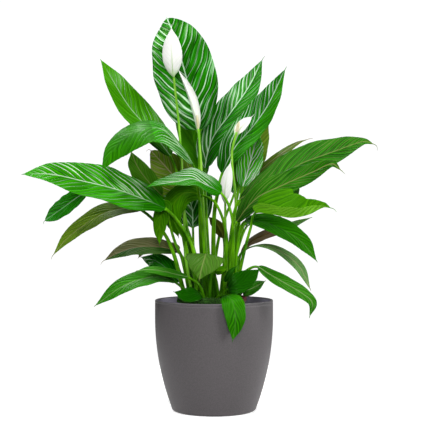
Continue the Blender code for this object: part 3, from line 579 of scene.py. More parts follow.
def dress(tree, shader, colour, height, strength, depth):
    """Gives a shader its colour and its relief, at most depth metres."""
    bump = add(tree, "ShaderNodeBump", {"Strength": strength, "Distance": depth, "Height": height})
    tree.links.new(colour, shader.inputs["Base Color"])
    tree.links.new(bump.outputs[0], shader.inputs["Normal"])


def leaf_skin(name, shade, blade, vein, gloss, wax, lines, glow=0.0):
    """Leaf skin: a waxed cuticle over cells, creased along side veins that leave the rib at a slant.
    The wax gives sharp highlights; white streaks of highlight along the creases, shade in the creases
    and towards the foot, and a glow where one is set are painted into it."""
    material, tree, shader = new_material(name, gloss, IOR=1.3, Specular_IOR_Level=wax,
                                          Specular_Tint=linear("#b4ff8c"),
                                          Emission_Strength=glow)
    phase, rib, along, painted_sheen = notes_of(tree, "vein", "rib", "along", "painted_sheen")
    patches = noise(tree, own_place(tree), 16.0)
    place = add(tree, "ShaderNodeCombineXYZ", {0: phase, 1: rib}).outputs[0]
    streaks = noise(tree, place, 1.0, stretch=(4.0, 30.0, 1.0))
    mixed = work(tree, "MULTIPLY_ADD", patches, 0.5, streaks)
    # Painted shade: cells are darker in the creases and paler on the swell between two; they are also
    # paler in patches
    crease = work(tree, "PINGPONG", phase, 0.5)
    swell = work(tree, "POWER", crease, 0.5)
    raised = work(tree, "MULTIPLY_ADD", swell, 0.35, mixed)
    # Blades are darker towards their foot, where they crowd and shade each other
    toned = work(tree, "ADD", raised, ramp(tree, along, 0.0, 0.35, -0.24, 0.0))
    ground = blend(tree, ramp(tree, toned, 0.72, 1.12), shade, blade)
    # Painted highlight, standing for wax that shines: a broken line of uneven width along each crease
    painted_streak = work(tree, "MULTIPLY", ramp(tree, mixed, 0.66, 0.88, 0.0, lines), painted_sheen, clamp=True)
    width = work(tree, "MULTIPLY", ramp(tree, streaks, 0.35, 0.65, 0.08, 0.32), painted_sheen)
    line = ramp(tree, crease, 0.0, width, painted_streak, 0.0, soft=True)
    # Finer veins comb the painted highlight into silky streaks, which end sharply on the glossiest
    # blades
    ripple = work(tree, "SINE", work(tree, "MULTIPLY", phase, math.tau * FINE_VEINS))
    silk_from, silk_to = SHARP_SILK if lines > SHARP_LINES else SOFT_SILK
    painted_silk = ramp(tree, mixed, silk_from, silk_to, 0.0, 0.6 * lines)
    combed = work(tree, "MULTIPLY", painted_silk, work(tree, "MULTIPLY_ADD", ripple, 0.4, 0.6))
    drawn = work(tree, "MAXIMUM", line, work(tree, "MULTIPLY", combed, painted_sheen))
    lined = blend(tree, drawn, ground, vein)
    # The midrib is paler, the more so where the painted highlight is stronger
    pale = ramp(tree, painted_sheen, 0.0, 1.0, 0.03, 0.8)
    midrib = ramp(tree, rib, 0.0003, 0.0013, pale, 0.0, soft=True)
    colour = blend(tree, midrib, lined, vein)
    # Painted glow: where a skin has a glow, it gives off its own colour, for light coming through the
    # blade
    tree.links.new(colour, shader.inputs["Emission Color"])
    rough = ramp(tree, patches, 0.3, 0.7, gloss, gloss + 0.08)
    tree.links.new(rough, shader.inputs["Roughness"])
    ridge = work(tree, "MULTIPLY_ADD", ripple, 0.03, swell)
    height = work(tree, "MULTIPLY_ADD", streaks, 0.06, ridge)
    dress(tree, shader, colour, height, 1.0, SKIN_DEPTH + PLEAT_DEPTH * max(lines - 0.5, 0.0))
    return material


def stem_skin(name, dark, light, gloss):
    """Stem skin: smooth and waxy, with fine lengthwise fibres that show as paler streaks."""
    material, tree, shader = new_material(name, gloss, IOR=1.3, Specular_IOR_Level=0.4,
                                          Specular_Tint=linear("#c8ffac"))
    place = own_place(tree)
    fibres = noise(tree, place, 1.0, stretch=(420.0, 420.0, 14.0))
    mixed = work(tree, "MULTIPLY_ADD", fibres, 0.35, noise(tree, place, 40.0, 1.0))
    # Painted shade: stems are darker where they crowd above the compost
    height = add(tree, "ShaderNodeSeparateXYZ", {0: place}).outputs[2]
    clear = ramp(tree, height, 0.17, 0.26, 0.25, 1.0)
    share = work(tree, "MULTIPLY", ramp(tree, mixed, 0.42, 0.95), clear)
    dress(tree, shader, blend(tree, share, dark, light), fibres, 0.5, 0.0002)
    return material


def petal_skin(name, petal, vein):
    """Spathe skin: a thin white petal-like leaf, satin, with green along its rib and base."""
    # Painted glow: the spathe gives off a little of its own white, so it stays near white in shade
    material, tree, shader = new_material(name, 0.45, IOR=1.4, Emission_Strength=0.05,
                                          Emission_Color=linear(petal))
    phase, rib, along = notes_of(tree, "vein", "rib", "along")
    fade = ramp(tree, along, 0.1, 0.75, 1.0, 0.0)
    green = work(tree, "MULTIPLY", ramp(tree, rib, 0.0003, 0.0016, 0.8, 0.0, soft=True), fade)
    base = ramp(tree, along, 0.02, 0.22, 0.75, 0.0, soft=True)
    crease = work(tree, "PINGPONG", phase, 0.5)
    faint = work(tree, "MULTIPLY", ramp(tree, crease, 0.0, 0.12, 0.28, 0.0, soft=True), fade)
    share = work(tree, "MAXIMUM", work(tree, "MAXIMUM", green, base), faint)
    dress(tree, shader, blend(tree, share, petal, vein), crease, 0.6, 0.0003)
    return material


def speckled(name, dark, light, grain, gloss, relief, **sockets):
    """A matt, grained surface: fine specks of two close colours over an uneven skin."""
    material, tree, shader = new_material(name, gloss, **sockets)
    specks = noise(tree, own_place(tree), 1.0 / grain, roughness=0.7)
    colour = blend(tree, ramp(tree, specks, 0.35, 0.65), dark, light)
    dress(tree, shader, colour, specks, 0.6, relief)
    return material


def new_object(name, data):
    obj = bpy.data.objects.new(name, data)
    bpy.context.scene.collection.objects.link(obj)
    return obj


def new_mesh(name, points, faces, skins=(), looks=None, notes=None):
    """A smooth mesh from points in metres, with a skin number for each face and named
    numbers for each point."""
    mesh = bpy.data.meshes.new(name)
    mesh.from_pydata(points, [], faces)
    for skin in skins:
        mesh.materials.append(skin)
    if looks:
        mesh.polygons.foreach_set("material_index", looks)
    for key, values in (notes or {}).items():
        mesh.attributes.new(key, "FLOAT", "POINT").data.foreach_set("value", values)
    mesh.shade_smooth()
    mesh.update()
    return mesh


def node_group(name, **inputs):
    """A Geometry Nodes tree with a mesh and these inputs, their identifiers and their sockets."""
    tree = bpy.data.node_groups.new(name, "GeometryNodeTree")
    tree.interface.new_socket("Geometry", in_out="OUTPUT", socket_type="NodeSocketGeometry")
    keys = {}
    for label, kind in {"Geometry": "Geometry", **inputs, "Material": "Material"}.items():
        socket = tree.interface.new_socket(label, in_out="INPUT", socket_type="NodeSocket" + kind)
        keys[label] = socket.identifier
    return tree, keys, add(tree, "NodeGroupInput").outputs


def close_group(tree, given, geometry):
    """Ends a Geometry Nodes tree: no instances are left, and all of it has the material."""
    real = add(tree, "GeometryNodeRealizeInstances", {"Geometry": geometry})
    skin = add(tree, "GeometryNodeSetMaterial", {"Geometry": real.outputs[0],
                                                 "Material": given["Material"]})
    add(tree, "NodeGroupOutput", {"Geometry": skin.outputs[0]})


def set_balls(tree, given, radius, **where):
    """Sets rough balls on points, and keeps the mesh below them."""
    ball = add(tree, "GeometryNodeMeshIcoSphere", {"Radius": radius, "Subdivisions": 1})
    balls = add(tree, "GeometryNodeInstanceOnPoints", {**where, "Instance": ball.outputs[0]})
    joined = add(tree, "GeometryNodeJoinGeometry")
    tree.links.new(balls.outputs[0], joined.inputs[0])
    tree.links.new(given["Geometry"], joined.inputs[0])
    close_group(tree, given, joined.outputs[0])


def grow(name, mesh, tree, keys, values):
    """Runs a Geometry Nodes tree on a mesh and keeps the result as a plain mesh."""
    seed = new_object("seed_" + name, mesh)
    modifier = seed.modifiers.new("nodes", "NODES")
    modifier.node_group = tree
    for label, value in values.items():
        modifier[keys[label]] = value
    graph = bpy.context.evaluated_depsgraph_get()
    result = bpy.data.meshes.new_from_object(seed.evaluated_get(graph))
    seed.modifiers.remove(modifier)
    bpy.data.objects.remove(seed)
    for place in reversed(range(len(result.materials))):
        if result.materials[place] is None:
            result.materials.pop(index=place)
    return result


def finished(name, mesh, node):
    """A piece that stands for a solid and rides with the whole plant."""
    obj = new_object(name, mesh)
    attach(obj, "root")
    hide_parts(node)


def smooth_path(points, count):
    """count + 1 points spaced evenly along a smooth curve through the given points."""
    knots = [Vector(point) for point in points]
    ends = [2 * knots[0] - knots[1]] + knots + [2 * knots[-1] - knots[-2]]
    fine = []
    for before, start, end, after in zip(ends, ends[1:], ends[2:], ends[3:]):
        reach = (end - start).length
        into = (end - before) * (reach / ((start - before).length + reach))
        out = (after - start) * (reach / ((after - end).length + reach))
        for step in range(SPAN_STEPS):
            t = step / SPAN_STEPS
            fine.append((2 * t ** 3 - 3 * t ** 2 + 1) * start + (t ** 3 - 2 * t ** 2 + t) * into
                        + (3 * t ** 2 - 2 * t ** 3) * end + (t ** 3 - t ** 2) * out)
    fine.append(knots[-1])
    lengths = [0.0]
    for first, second in zip(fine, fine[1:]):
        lengths.append(lengths[-1] + (second - first).length)
    path, place = [], 0
    for step in range(count + 1):
        wanted = lengths[-1] * step / count
        while place < len(fine) - 2 and lengths[place + 1] < wanted:
            place += 1
        share = (wanted - lengths[place]) / (lengths[place + 1] - lengths[place])
        path.append(fine[place].lerp(fine[place + 1], share))
    return path


def faces_along(path, face, start):
    """Tangents, and upward directions carried along without twist from the point start."""
    ends = [2 * path[0] - path[1]] + path + [2 * path[-1] - path[-2]]
    along = [(after - before).normalized() for before, after in zip(ends, ends[2:])]
    ups = [None] * len(path)
    seed = Vector(face)
    ups[start] = (seed - seed.dot(along[start]) * along[start]).normalized()
    order = [(i, i - 1) for i in range(start + 1, len(path))]
    order += [(i, i + 1) for i in range(start - 1, -1, -1)]
    for place, neighbour in order:
        turn = along[neighbour].rotation_difference(along[place])
        carried = turn @ ups[neighbour]
        ups[place] = (carried - carried.dot(along[place]) * along[place]).normalized()
    return along, ups


def nearest(path, point):
    """The number of the path's point that lies nearest."""
    return min(range(len(path)), key=lambda i: (path[i] - Vector(point)).length)


def smooth(low, high, value):
    """0 below low, 1 above high and a soft S between them."""
    share = min(max((value - low) / (high - low), 0.0), 1.0)
    return share * share * (3.0 - 2.0 * share)


def half_width(t, width, base, end):
    """Half width of a blade along its length, drawn in to a point at its tip."""
    peak = base / (base + end)
    share = t ** base * (1.0 - t) ** end / (peak ** base * (1.0 - peak) ** end)
    return width / 2 * share * (1.0 - 0.3 * smooth(0.8, 1.0, t))


def across_steps(count):
    """Places across a blade from -1 to 1, closer together near the rib."""
    even = [2.0 * place / count - 1.0 for place in range(count + 1)]
    return [math.copysign(abs(s) ** 1.25, s) for s in even]


def circle(centre, radius, side, up, turns):
    """Points round a centre, at angles that run from side towards up."""
    return [centre + radius * (math.cos(turn) * side + math.sin(turn) * up) for turn in turns]


def skin_half(thick, s):
    """Half of a blade's thickness, less towards its margins."""
    return thick / 2 * (1.0 - 0.6 * abs(s) ** 6)


def loft(name, rings, skins=(), looks=lambda place, step: 0, notes=None):
    """A closed tube through rings of equal length, in millimetres."""
    count, last = len(rings[0]), len(rings) - 1
    points = [point * MM for ring in rings for point in ring]
    faces, shown = [], []
    for place in range(last):
        first, second = place * count, (place + 1) * count
        for step in range(count):
            after = (step + 1) % count
            faces.append((first + step, first + after, second + after, second + step))
            shown.append(looks(place, step))
    faces.append(tuple(range(count - 1, -1, -1)))
    faces.append(tuple(range(last * count, last * count + count)))
    shown += [looks(0, 0), looks(last, 0)]
    return new_mesh(name, points, faces, skins, shown, notes)


def loft_blade(name, rings, skins, looks, *labels):
    """Lofts rings of rows, each a point followed by the numbers it carries under the labels."""
    notes = {label: [row[place] for ring in rings for row in ring]
             for place, label in enumerate(labels, 1)}
    return loft(name, [[row[0] for row in ring] for ring in rings], skins, looks, notes)


def setting(name, description, default, kind=bpy.props.FloatProperty, **more):
    """A setting that a user can change, a plain number unless another kind is given."""
    return kind(name=name, description=description, default=default, **more)


def length(name, description, default):
    """A setting in metres, shown in the scene's unit of length."""
    return setting(name, description, default, unit="LENGTH")


class PotSettings(bpy.types.PropertyGroup):
    """Sizes and colour of the cover pot."""

    height: length("Height", "Height of the cover pot", POT_HIGH.z)
    rim: length("Rim radius", "Outer radius at the rim", POT_HIGH.x)
    wall: length("Wall", "Thickness of the wall", 0.003)
    lip: length("Lip", "Rounding of the lip's two edges", 0.0013)
    colour: setting("Colour", "Light specks, as sRGB hex", "#5f5a5c", bpy.props.StringProperty)
    shade: setting("Shade", "Dark specks, as sRGB hex", "#534f51", bpy.props.StringProperty)


class CompostSettings(bpy.types.PropertyGroup):
    """Grains of the compost."""

    crumb: length("Crumb", "Size of the largest crumbs", 0.0026)
    density: setting("Density", "Crumbs on a square metre", 160000.0)
    seed: setting("Seed", "Draw of the crumbs", 4, bpy.props.IntProperty)


class LeafSettings(bpy.types.PropertyGroup):
    """Sizes shared by all the leaves."""

    thickness: length("Thickness", "Thickness of a blade", 0.0006)
    rib: length("Rib", "How far the rib stands out below", 0.0015)
    spacing: length("Vein spacing", "Side veins along the rib", 0.015)
    pleat: length("Pleat", "Swell of the skin between veins", 0.0009)
    slant: setting("Slant", "Angle of side veins to the rib", math.radians(27), subtype="ANGLE")


class FlowerSettings(bpy.types.PropertyGroup):
    """Sizes shared by all the flowers."""

    floret: length("Floret", "Radius of a floret", 0.0008)
    petal: length("Spathe", "Thickness of a spathe", 0.0008)


class StageSettings(bpy.types.PropertyGroup):
    """Camera and light."""

    distance: length("Distance", "Camera to the pot's axis", 1.70)
    eye: length("Eye height", "Height of the level camera", 0.2970)
    aside: length("Aside", "Camera to the right of the axis", 0.0015)
    lens: setting("Lens", "Focal length in millimetres", 93.2)
    room: setting("Room", "Glow of the room in front", 0.06)
    backdrop: setting("Backdrop", "Glow of the white wall behind", 0.25)


class LILY_OT_pot(bpy.types.Operator):
    """Builds the cover pot as a turned body and gives the nursery pot its finish"""

    bl_idname = "lily.pot"
    bl_label = "Cover pot"

    def radius(self, pot, height):
        """Outer radius: straight near the rim, then bowed in towards the foot."""
        if height >= POT_STRAIGHT_FROM:
            return pot.rim
        drop = (POT_STRAIGHT_FROM - height) / (POT_STRAIGHT_FROM - POT_CORNER_HEIGHT)
        return pot.rim - (pot.rim - POT_CORNER_RADIUS) * drop ** 2

    def profile(self, pot):
        """Radius and height from the middle of the underside, up, over the lip and back in."""
        outer, inner = [(0.0, 0.0), (POT_MIDDLE_RING, 0.0), (POT_FOOT_RADIUS, 0.0)], []
        turn = POT_CORNER_RADIUS - POT_FOOT_RADIUS
        for step in range(1, CORNER_STEPS):
            angle = math.radians(90 * step / CORNER_STEPS)
            outer.append((POT_FOOT_RADIUS + turn * math.sin(angle),
                          POT_CORNER_HEIGHT * (1.0 - math.cos(angle))))
        for step in range(POT_ROWS):
            height = POT_CORNER_HEIGHT
            height += (pot.height - pot.lip - POT_CORNER_HEIGHT) * step / POT_ROWS
            outer.append((self.radius(pot, height), height))
            if height > POT_FLOOR + INNER_WALL:
                inner.append((self.radius(pot, height) - pot.wall, height))
        lip = [(pot.rim - depth, pot.height - below) for depth, below in LIP_GROOVE]
        for centre, start in ((pot.rim - pot.lip, 0), (pot.rim - pot.wall + pot.lip, 90)):
            for step in range(LIP_STEPS + 1):
                angle = math.radians(start + 90 * step / LIP_STEPS)
                lip.append((centre + pot.lip * math.cos(angle),
                            pot.height - pot.lip + pot.lip * math.sin(angle)))
        floor = [(POT_CORNER_RADIUS - pot.wall, POT_FLOOR + INNER_CORNER),
                 (POT_FOOT_RADIUS - pot.wall, POT_FLOOR), (POT_MIDDLE_RING, POT_FLOOR),
                 (0.0, POT_FLOOR)]
        return outer + lip + inner[::-1] + floor

    def revolve(self):
        """Turns a profile of loose points, in the XZ plane, round the upright axis."""
        tree, keys, given = node_group("turned pot", Sides="Int", Rings="Int")
        sides, count = given["Sides"], given["Rings"]
        grid = add(tree, "GeometryNodeMeshGrid", {"Vertices X": work(tree, "ADD", sides, 1.0),
                                                  "Vertices Y": count})
        index = add(tree, "GeometryNodeInputIndex").outputs[0]
        column = work(tree, "FLOOR", work(tree, "DIVIDE", index, count))
        angle = work(tree, "MULTIPLY", work(tree, "DIVIDE", column, sides), math.tau)
        spot = add(tree, "GeometryNodeInputPosition").outputs[0]
        taken = add(tree, "GeometryNodeSampleIndex",
                    {0: given["Geometry"], "Value": spot, "Index": work(tree, "MODULO", index, count)},
                    data_type="FLOAT_VECTOR", domain="POINT")
        placed = add(tree, "ShaderNodeVectorRotate", {"Vector": taken.outputs[0], "Angle": angle},
                     rotation_type="Z_AXIS")
        moved = add(tree, "GeometryNodeSetPosition", {"Geometry": grid.outputs[0],
                                                      "Position": placed.outputs[0]})
        merged = add(tree, "GeometryNodeMergeByDistance", {"Geometry": moved.outputs[0],
                                                           "Distance": 0.00001})
        shaded = add(tree, "GeometryNodeSetShadeSmooth", {"Geometry": merged.outputs[0]})
        close_group(tree, given, shaded.outputs[0])
        return tree, keys

    def execute(self, context):
        pot = context.scene.lily_pot
        profile = self.profile(pot)
        points = [(radius, 0.0, height) for radius, height in profile]
        # Injection-moulded polypropylene from an eroded mould: matt, with a fine grain
        plastic = speckled("moulded grey polypropylene", pot.shade, pot.colour, 0.0016, 0.55, 0.0001)
        tree, keys = self.revolve()
        turned = grow("cover_pot", new_mesh("pot profile", points, []), tree, keys,
                      {"Sides": POT_SIDES, "Rings": len(profile), "Material": plastic})
        # The inner wall is shinier and looks violet; its pale colour and faint glow are painted light
        # for
        # # light that reaches down inside. The lip is a little paler, a painted highlight
        turned.materials.append(speckled("inner wall of the pot", "#807a92", "#8e88a0", 0.0016, 0.5,
                                         0.0001, Emission_Color=linear("#c8c0d8"),
                                         Emission_Strength=0.025))
        turned.materials.append(speckled("pot lip with painted highlight", "#5a5759", "#656164", 0.0016,
                                         0.45, 0.0001))
        for face in turned.polygons:
            reach = math.hypot(face.center.x, face.center.y)
            wall = self.radius(pot, face.center.z) - reach
            # Faces of the lip take the painted highlight
            if face.center.z > pot.height - LIP_GROOVE[-1][1]:
                face.material_index = 2
            elif POT_INSIDE_FROM < face.center.z and wall > pot.wall * 0.8:
                face.material_index = 1
        finished("cover_pot_finish", turned, "cover_pot")
        # Thermoformed nursery pot: thin brown plastic, matt and dusty beside the cover pot
        thin = speckled("thermoformed brown plastic", "#560c06", "#681408", 0.003, 0.75, 0.00005)
        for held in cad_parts["nursery_pot"].material_slots:
            held.material = thin
        return {"FINISHED"}


class LILY_OT_compost(bpy.types.Operator):
    """Fills the nursery pot with compost: an uneven plug strewn with crumbs"""

    bl_idname = "lily.compost"
    bl_label = "Compost"

    def plug(self):
        """The solid's plug with a top that rises and falls by about a millimetre."""
        middle, top = (SOIL_LOW.x + SOIL_HIGH.x) / 2, (SOIL_HIGH.x - SOIL_LOW.x) / 2
        draw = random.Random(SOIL_DRAW)
        turns = [math.tau * step / SOIL_SIDES for step in range(SOIL_SIDES)]
        points = [(middle + SOIL_FOOT_RADIUS * math.cos(turn), SOIL_FOOT_RADIUS * math.sin(turn),
                   SOIL_LOW.z) for turn in turns]
        for row in range(SOIL_ROWS + 1):
            radius = top * (SOIL_ROWS - row) / SOIL_ROWS
            for turn in turns if radius else (0.0,):
                rise = draw.uniform(*SOIL_HEAVE) if row else SOIL_EDGE
                points.append((middle + radius * math.cos(turn), radius * math.sin(turn),
                               SOIL_HIGH.z + rise))
        faces = []
        for first in range(0, SOIL_ROWS * SOIL_SIDES, SOIL_SIDES):
            for step in range(SOIL_SIDES):
                after = (step + 1) % SOIL_SIDES
                faces.append((first + step, first + after, first + SOIL_SIDES + after,
                              first + SOIL_SIDES + step))
        inmost = SOIL_ROWS * SOIL_SIDES
        faces += [(inmost + step, inmost + (step + 1) % SOIL_SIDES, len(points) - 1)
                  for step in range(SOIL_SIDES)]
        faces.append(tuple(range(SOIL_SIDES - 1, -1, -1)))
        return new_mesh("compost", points, faces)

    def bed(self):
        """A low ridge over the front of the nursery pot's rim, where moss has settled."""
        rings = []
        for step in range(MOSS_STEPS + 1):
            angle = math.radians(MOSS_FROM + (MOSS_TO - MOSS_FROM) * step / MOSS_STEPS)
            rings.append([Vector((MOSS_X + radius * math.cos(angle), radius * math.sin(angle), z))
                          for radius, z in MOSS_SECTION])
        return loft("moss", rings)

    def strew(self):
        """Scatters crumbs where the smoothed skin faces up: the top and, thinning out, the sides."""
        tree, keys, given = node_group("strewn crumbs", Crumb="Float", Density="Float", Seed="Int")
        seed = given["Seed"]
        normal = add(tree, "GeometryNodeInputNormal").outputs[0]
        upward = add(tree, "ShaderNodeSeparateXYZ", {0: normal}).outputs[2]
        spots = add(tree, "GeometryNodeDistributePointsOnFaces",
                    {"Mesh": given["Geometry"], "Selection": work(tree, "GREATER_THAN", upward, 0.5),
                     "Density": given["Density"], "Seed": seed})
        size = add(tree, "FunctionNodeRandomValue", {2: 0.2, 3: 1.0, "Seed": seed},
                   data_type="FLOAT")
        spin = add(tree, "FunctionNodeRandomValue", {0: (0, 0, 0), 1: (6.28, 6.28, 6.28),
                                                     "Seed": seed}, data_type="FLOAT_VECTOR")
        set_balls(tree, given, 1.0, Points=spots.outputs[0], Rotation=spin.outputs[0],
                  Scale=work(tree, "MULTIPLY", size.outputs[1], given["Crumb"]))
        return tree, keys

    def execute(self, context):
        compost = context.scene.lily_compost
        # Damp peat compost: crumbs of dark brown fibre with no shine
        peat = speckled("damp peat compost", "#1a110b", "#3a2819", 0.004, 0.95, 0.0006)
        # Cushion moss and bits of old leaf: dull, rough, dark green tufts
        moss = speckled("cushion moss", "#163404", "#3d7a18", 0.002, 0.9, 0.0004)
        tree, keys = self.strew()
        mesh = grow("compost", self.plug(), tree, keys,
                    {"Crumb": compost.crumb, "Density": compost.density, "Seed": compost.seed,
                     "Material": peat})
        finished("compost_crumbs", mesh, "soil")
        mesh = grow("moss", self.bed(), tree, keys,
                    {"Crumb": MOSS_TUFT, "Density": MOSS_DENSITY, "Seed": compost.seed,
                     "Material": moss})
        tufts = new_object("moss_on_rim", mesh)
        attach(tufts, "root")
        return {"FINISHED"}


class LILY_OT_leaves(bpy.types.Operator):
    """Grows every leaf: petiole, pleated blade with its rib, and drip tip"""

    bl_idname = "lily.leaves"
    bl_label = "Leaves"

    def spine(self, petiole, blade, drip):
        """Points from the foot in the compost to the end of the drip tip."""
        (x, y), rest = petiole[0], petiole[1:]
        level = (x, y, SOIL_TOP + 1.0)
        stem = smooth_path((level, *rest, blade[0]), PETIOLE_STEPS * 8)
        neck = nearest(stem, rest[-1])
        path = [Vector((x, y, SOIL_TOP - STEM_DEPTH))]
        path += [stem[round(neck * step / PETIOLE_STEPS)] for step in range(PETIOLE_STEPS)]
        whole = smooth_path((rest[-2] if len(rest) > 1 else level, rest[-1], *blade), FINE_STEPS)
        start = nearest(whole, rest[-1])
        path += [whole[start + round((FINE_STEPS - start) * step / BLADE_STEPS)]
                 for step in range(BLADE_STEPS + 1)]
        end, ahead = path[-1], (path[-1] - path[-2]).normalized()
        finish = end + ahead * DRIP_LENGTH + Vector(drip)
        middle = end + ahead * (DRIP_LENGTH + Vector(drip).length * 0.5)
        for step in range(1, DRIP_STEPS + 1):
            t = step / DRIP_STEPS
            path.append((1 - t) ** 2 * end + 2 * t * (1 - t) * middle + t * t * finish)
        return path

    def painted_sheen_shares(self, short, up, t):
        """How much painted wax highlight shows left and right of the rib at the share t of the blade.
        """
        if short not in PAINTED_SHEEN:
            return (smooth(0.3, 1.0, up.dot(PAINTED_SHEEN_WAY)),) * 2
        left, right, start, stop = PAINTED_SHEEN[short]
        shown = smooth(start - SHEEN_FADE, start + SHEEN_FADE, t)
        shown *= 1.0 - smooth(stop - SHEEN_FADE, stop + SHEEN_FADE, t)
        return left * shown, right * shown

    def grow_leaf(self, row, settings, upper, under, stem_look):
        name, petiole, blade, width, face, style = row
        short = name.removeprefix("leaf_")
        draw = random.Random(name)
        path = self.spine(petiole, blade, DRIP_TIPS.get(short, PLAIN_DRIP))
        first = PETIOLE_STEPS + 1
        along, ups = faces_along(path, face, first + BLADE_STEPS // 2)
        reach = sum((b - a).length for a, b in zip(path[first:], path[first + 1:]))
        steps = across_steps(SMALL_LEAF_ACROSS if width < SMALL_LEAF_WIDTH else LEAF_ACROSS)
        veins = max(4, round(reach / (settings.spacing / MM)))
        slant = settings.slant + math.radians(SLANT_WIDENS * min(max(width - COMMON_WIDTH, -20), 40))
        lead = 1.0 / math.tan(slant) / reach
        pleat = settings.pleat / MM * min(1.0, width / COMMON_WIDTH)
        fold, twist = [math.radians(style.get(key, 0)) for key in ("fold", "twist")]
        base, end = style.get("base", BASE_SHARPNESS), style.get("end", TIP_SHARPNESS)
        stout = style.get("stem", 1.0)
        # Each half of the blade ripples in its own way: how far, how often and from where
        ripple = [(draw.uniform(*RIPPLE_SIZES), draw.uniform(*RIPPLE_RATES),
                   draw.uniform(0, math.tau)) for _ in range(2)]
        rings = []
        for place, centre in enumerate(path):
            t = min(max((place - first) / BLADE_STEPS, 0.0), 1.0)
            turn = Matrix.Rotation(twist * (t - 0.5), 3, along[place])
            up = turn @ ups[max(place, 2)]
            side = along[place].cross(up).normalized()
            up = side.cross(along[place])
            left_sheen, right_sheen = self.painted_sheen_shares(short, up, t)
            if place <= first:
                share = place / first
                radius = PETIOLE_BASE_RADIUS + (PETIOLE_NECK_RADIUS - PETIOLE_BASE_RADIUS) * share
                radius *= stout
            else:
                radius = PETIOLE_NECK_RADIUS * stout * (1.0 - t) + TIP_RADIUS * t
            beyond = max(place - first - BLADE_STEPS, 0) / DRIP_STEPS
            radius *= 1.0 - DRIP_TAPER * beyond
            flat = smooth(0.0, 0.05, t) * (1.0 - smooth(0.985, 1.0, t))
            full = half_width(t, width, base, end) if t < 1.0 else 0.0
            top, bottom = [], []
            for number, s in enumerate(steps):
                size, rate, start = ripple[s > 0]
                uneven = 1.0 + 2.0 * size * s * s * math.sin(math.tau * rate * 1.7 * t + 2.0 * start)
                half = max(full * uneven, TIP_RADIUS)
                # Height over the rib: the fold, the cup, the waves, and a round to each half
                lift = math.sin(fold) * (math.sqrt(s * s + 0.0009) - 0.03)
                lift += style.get("cup", 0.0) * s * s
                lift += style.get("wave", 0.0) * s * s * math.sin(math.tau * 2.5 * t)
                lift += size * s * s * math.sin(math.tau * rate * t + start)
                lift += 0.05 * (abs(s) - s * s)
                # Counts side veins, which curve forwards. The skin swells between two of them
                phase = veins * (t - lead * half * abs(s) * (1.0 + 0.25 * s * s))
                phase += 0.1 * math.sin(5.0 * t * math.tau + start) + (0.4 if s > 0 else 0.0)
                swell = abs(math.sin(math.pi * phase)) ** 0.8 - 0.6
                swell *= pleat * smooth(0.02, 0.3, abs(s)) * (1.0 - 0.6 * s ** 4)
                swell *= smooth(0.0, 0.12, t) * (1.0 - smooth(0.8, 1.0, t))
                x = half * s * math.cos(fold)
                z = half * lift + swell
                near_rib = math.exp(-(x / RIB_SPREAD) ** 2)
                skin = skin_half(settings.thickness / MM, s)
                sunk = RIB_GROOVE * near_rib * (1.0 - t)
                raised = settings.rib / MM * stout * (1.0 - t) ** 0.8 * near_rib
                # The section goes from the petiole's circle to the blade's flat form
                angle = math.pi * (1.0 - (number + 0.5) / len(steps))
                round_x, round_z = radius * math.cos(angle), radius * math.sin(angle)
                across = centre + side * (round_x + (x - round_x) * flat)
                above = round_z + (z + skin - sunk - round_z) * flat
                below = -round_z + (z - skin - raised + round_z) * flat
                carried = (phase, abs(x) * MM if flat > 0.0 else 0.0, t,
                           left_sheen + (right_sheen - left_sheen) * smooth(-0.1, 0.1, s))
                top.append((across + up * above, *carried))
                bottom.append((across + up * below, *carried))
            rings.append(top + bottom[::-1])
        look = next((key for key, names in WEARERS.items() if short in names), "fresh")
        other, start, stop, left, right = SECOND_SKINS.get(short, (look, 2.0, 2.0, 0.0, 0.0))

        def shown(place, step):
            """0 for the upper skin, 1 for the underside, 2 for the petiole, 3 for a second skin."""
            if place < first + round(BLADE_STEPS * NECK_SHARE):
                return 2
            t = (place - first) / BLADE_STEPS
            if step >= len(steps):
                return 3 if short in TURNED and t >= start else 1
            return 3 if start <= t <= stop and left <= steps[step] <= right else 0

        skins = (upper[look], under.get(look, under["fresh"]), stem_look, upper[other])
        mesh = loft_blade(name, rings, skins, shown, "vein", "rib", "along", "painted_sheen")
        finished("grown_" + name, mesh, name)

    def execute(self, context):
        upper = {key: leaf_skin(*look) for key, look in UPPER_SKINS.items()}
        under = {key: leaf_skin(*look) for key, look in UNDER_SKINS.items()}
        # Petioles: mid green and waxed, with painted shade near the compost
        stem = stem_skin("waxy green petiole", "#226600", "#84d816", 0.3)
        for row in LEAVES:
            self.grow_leaf(row, context.scene.lily_leaves, upper, under, stem)
        return {"FINISHED"}


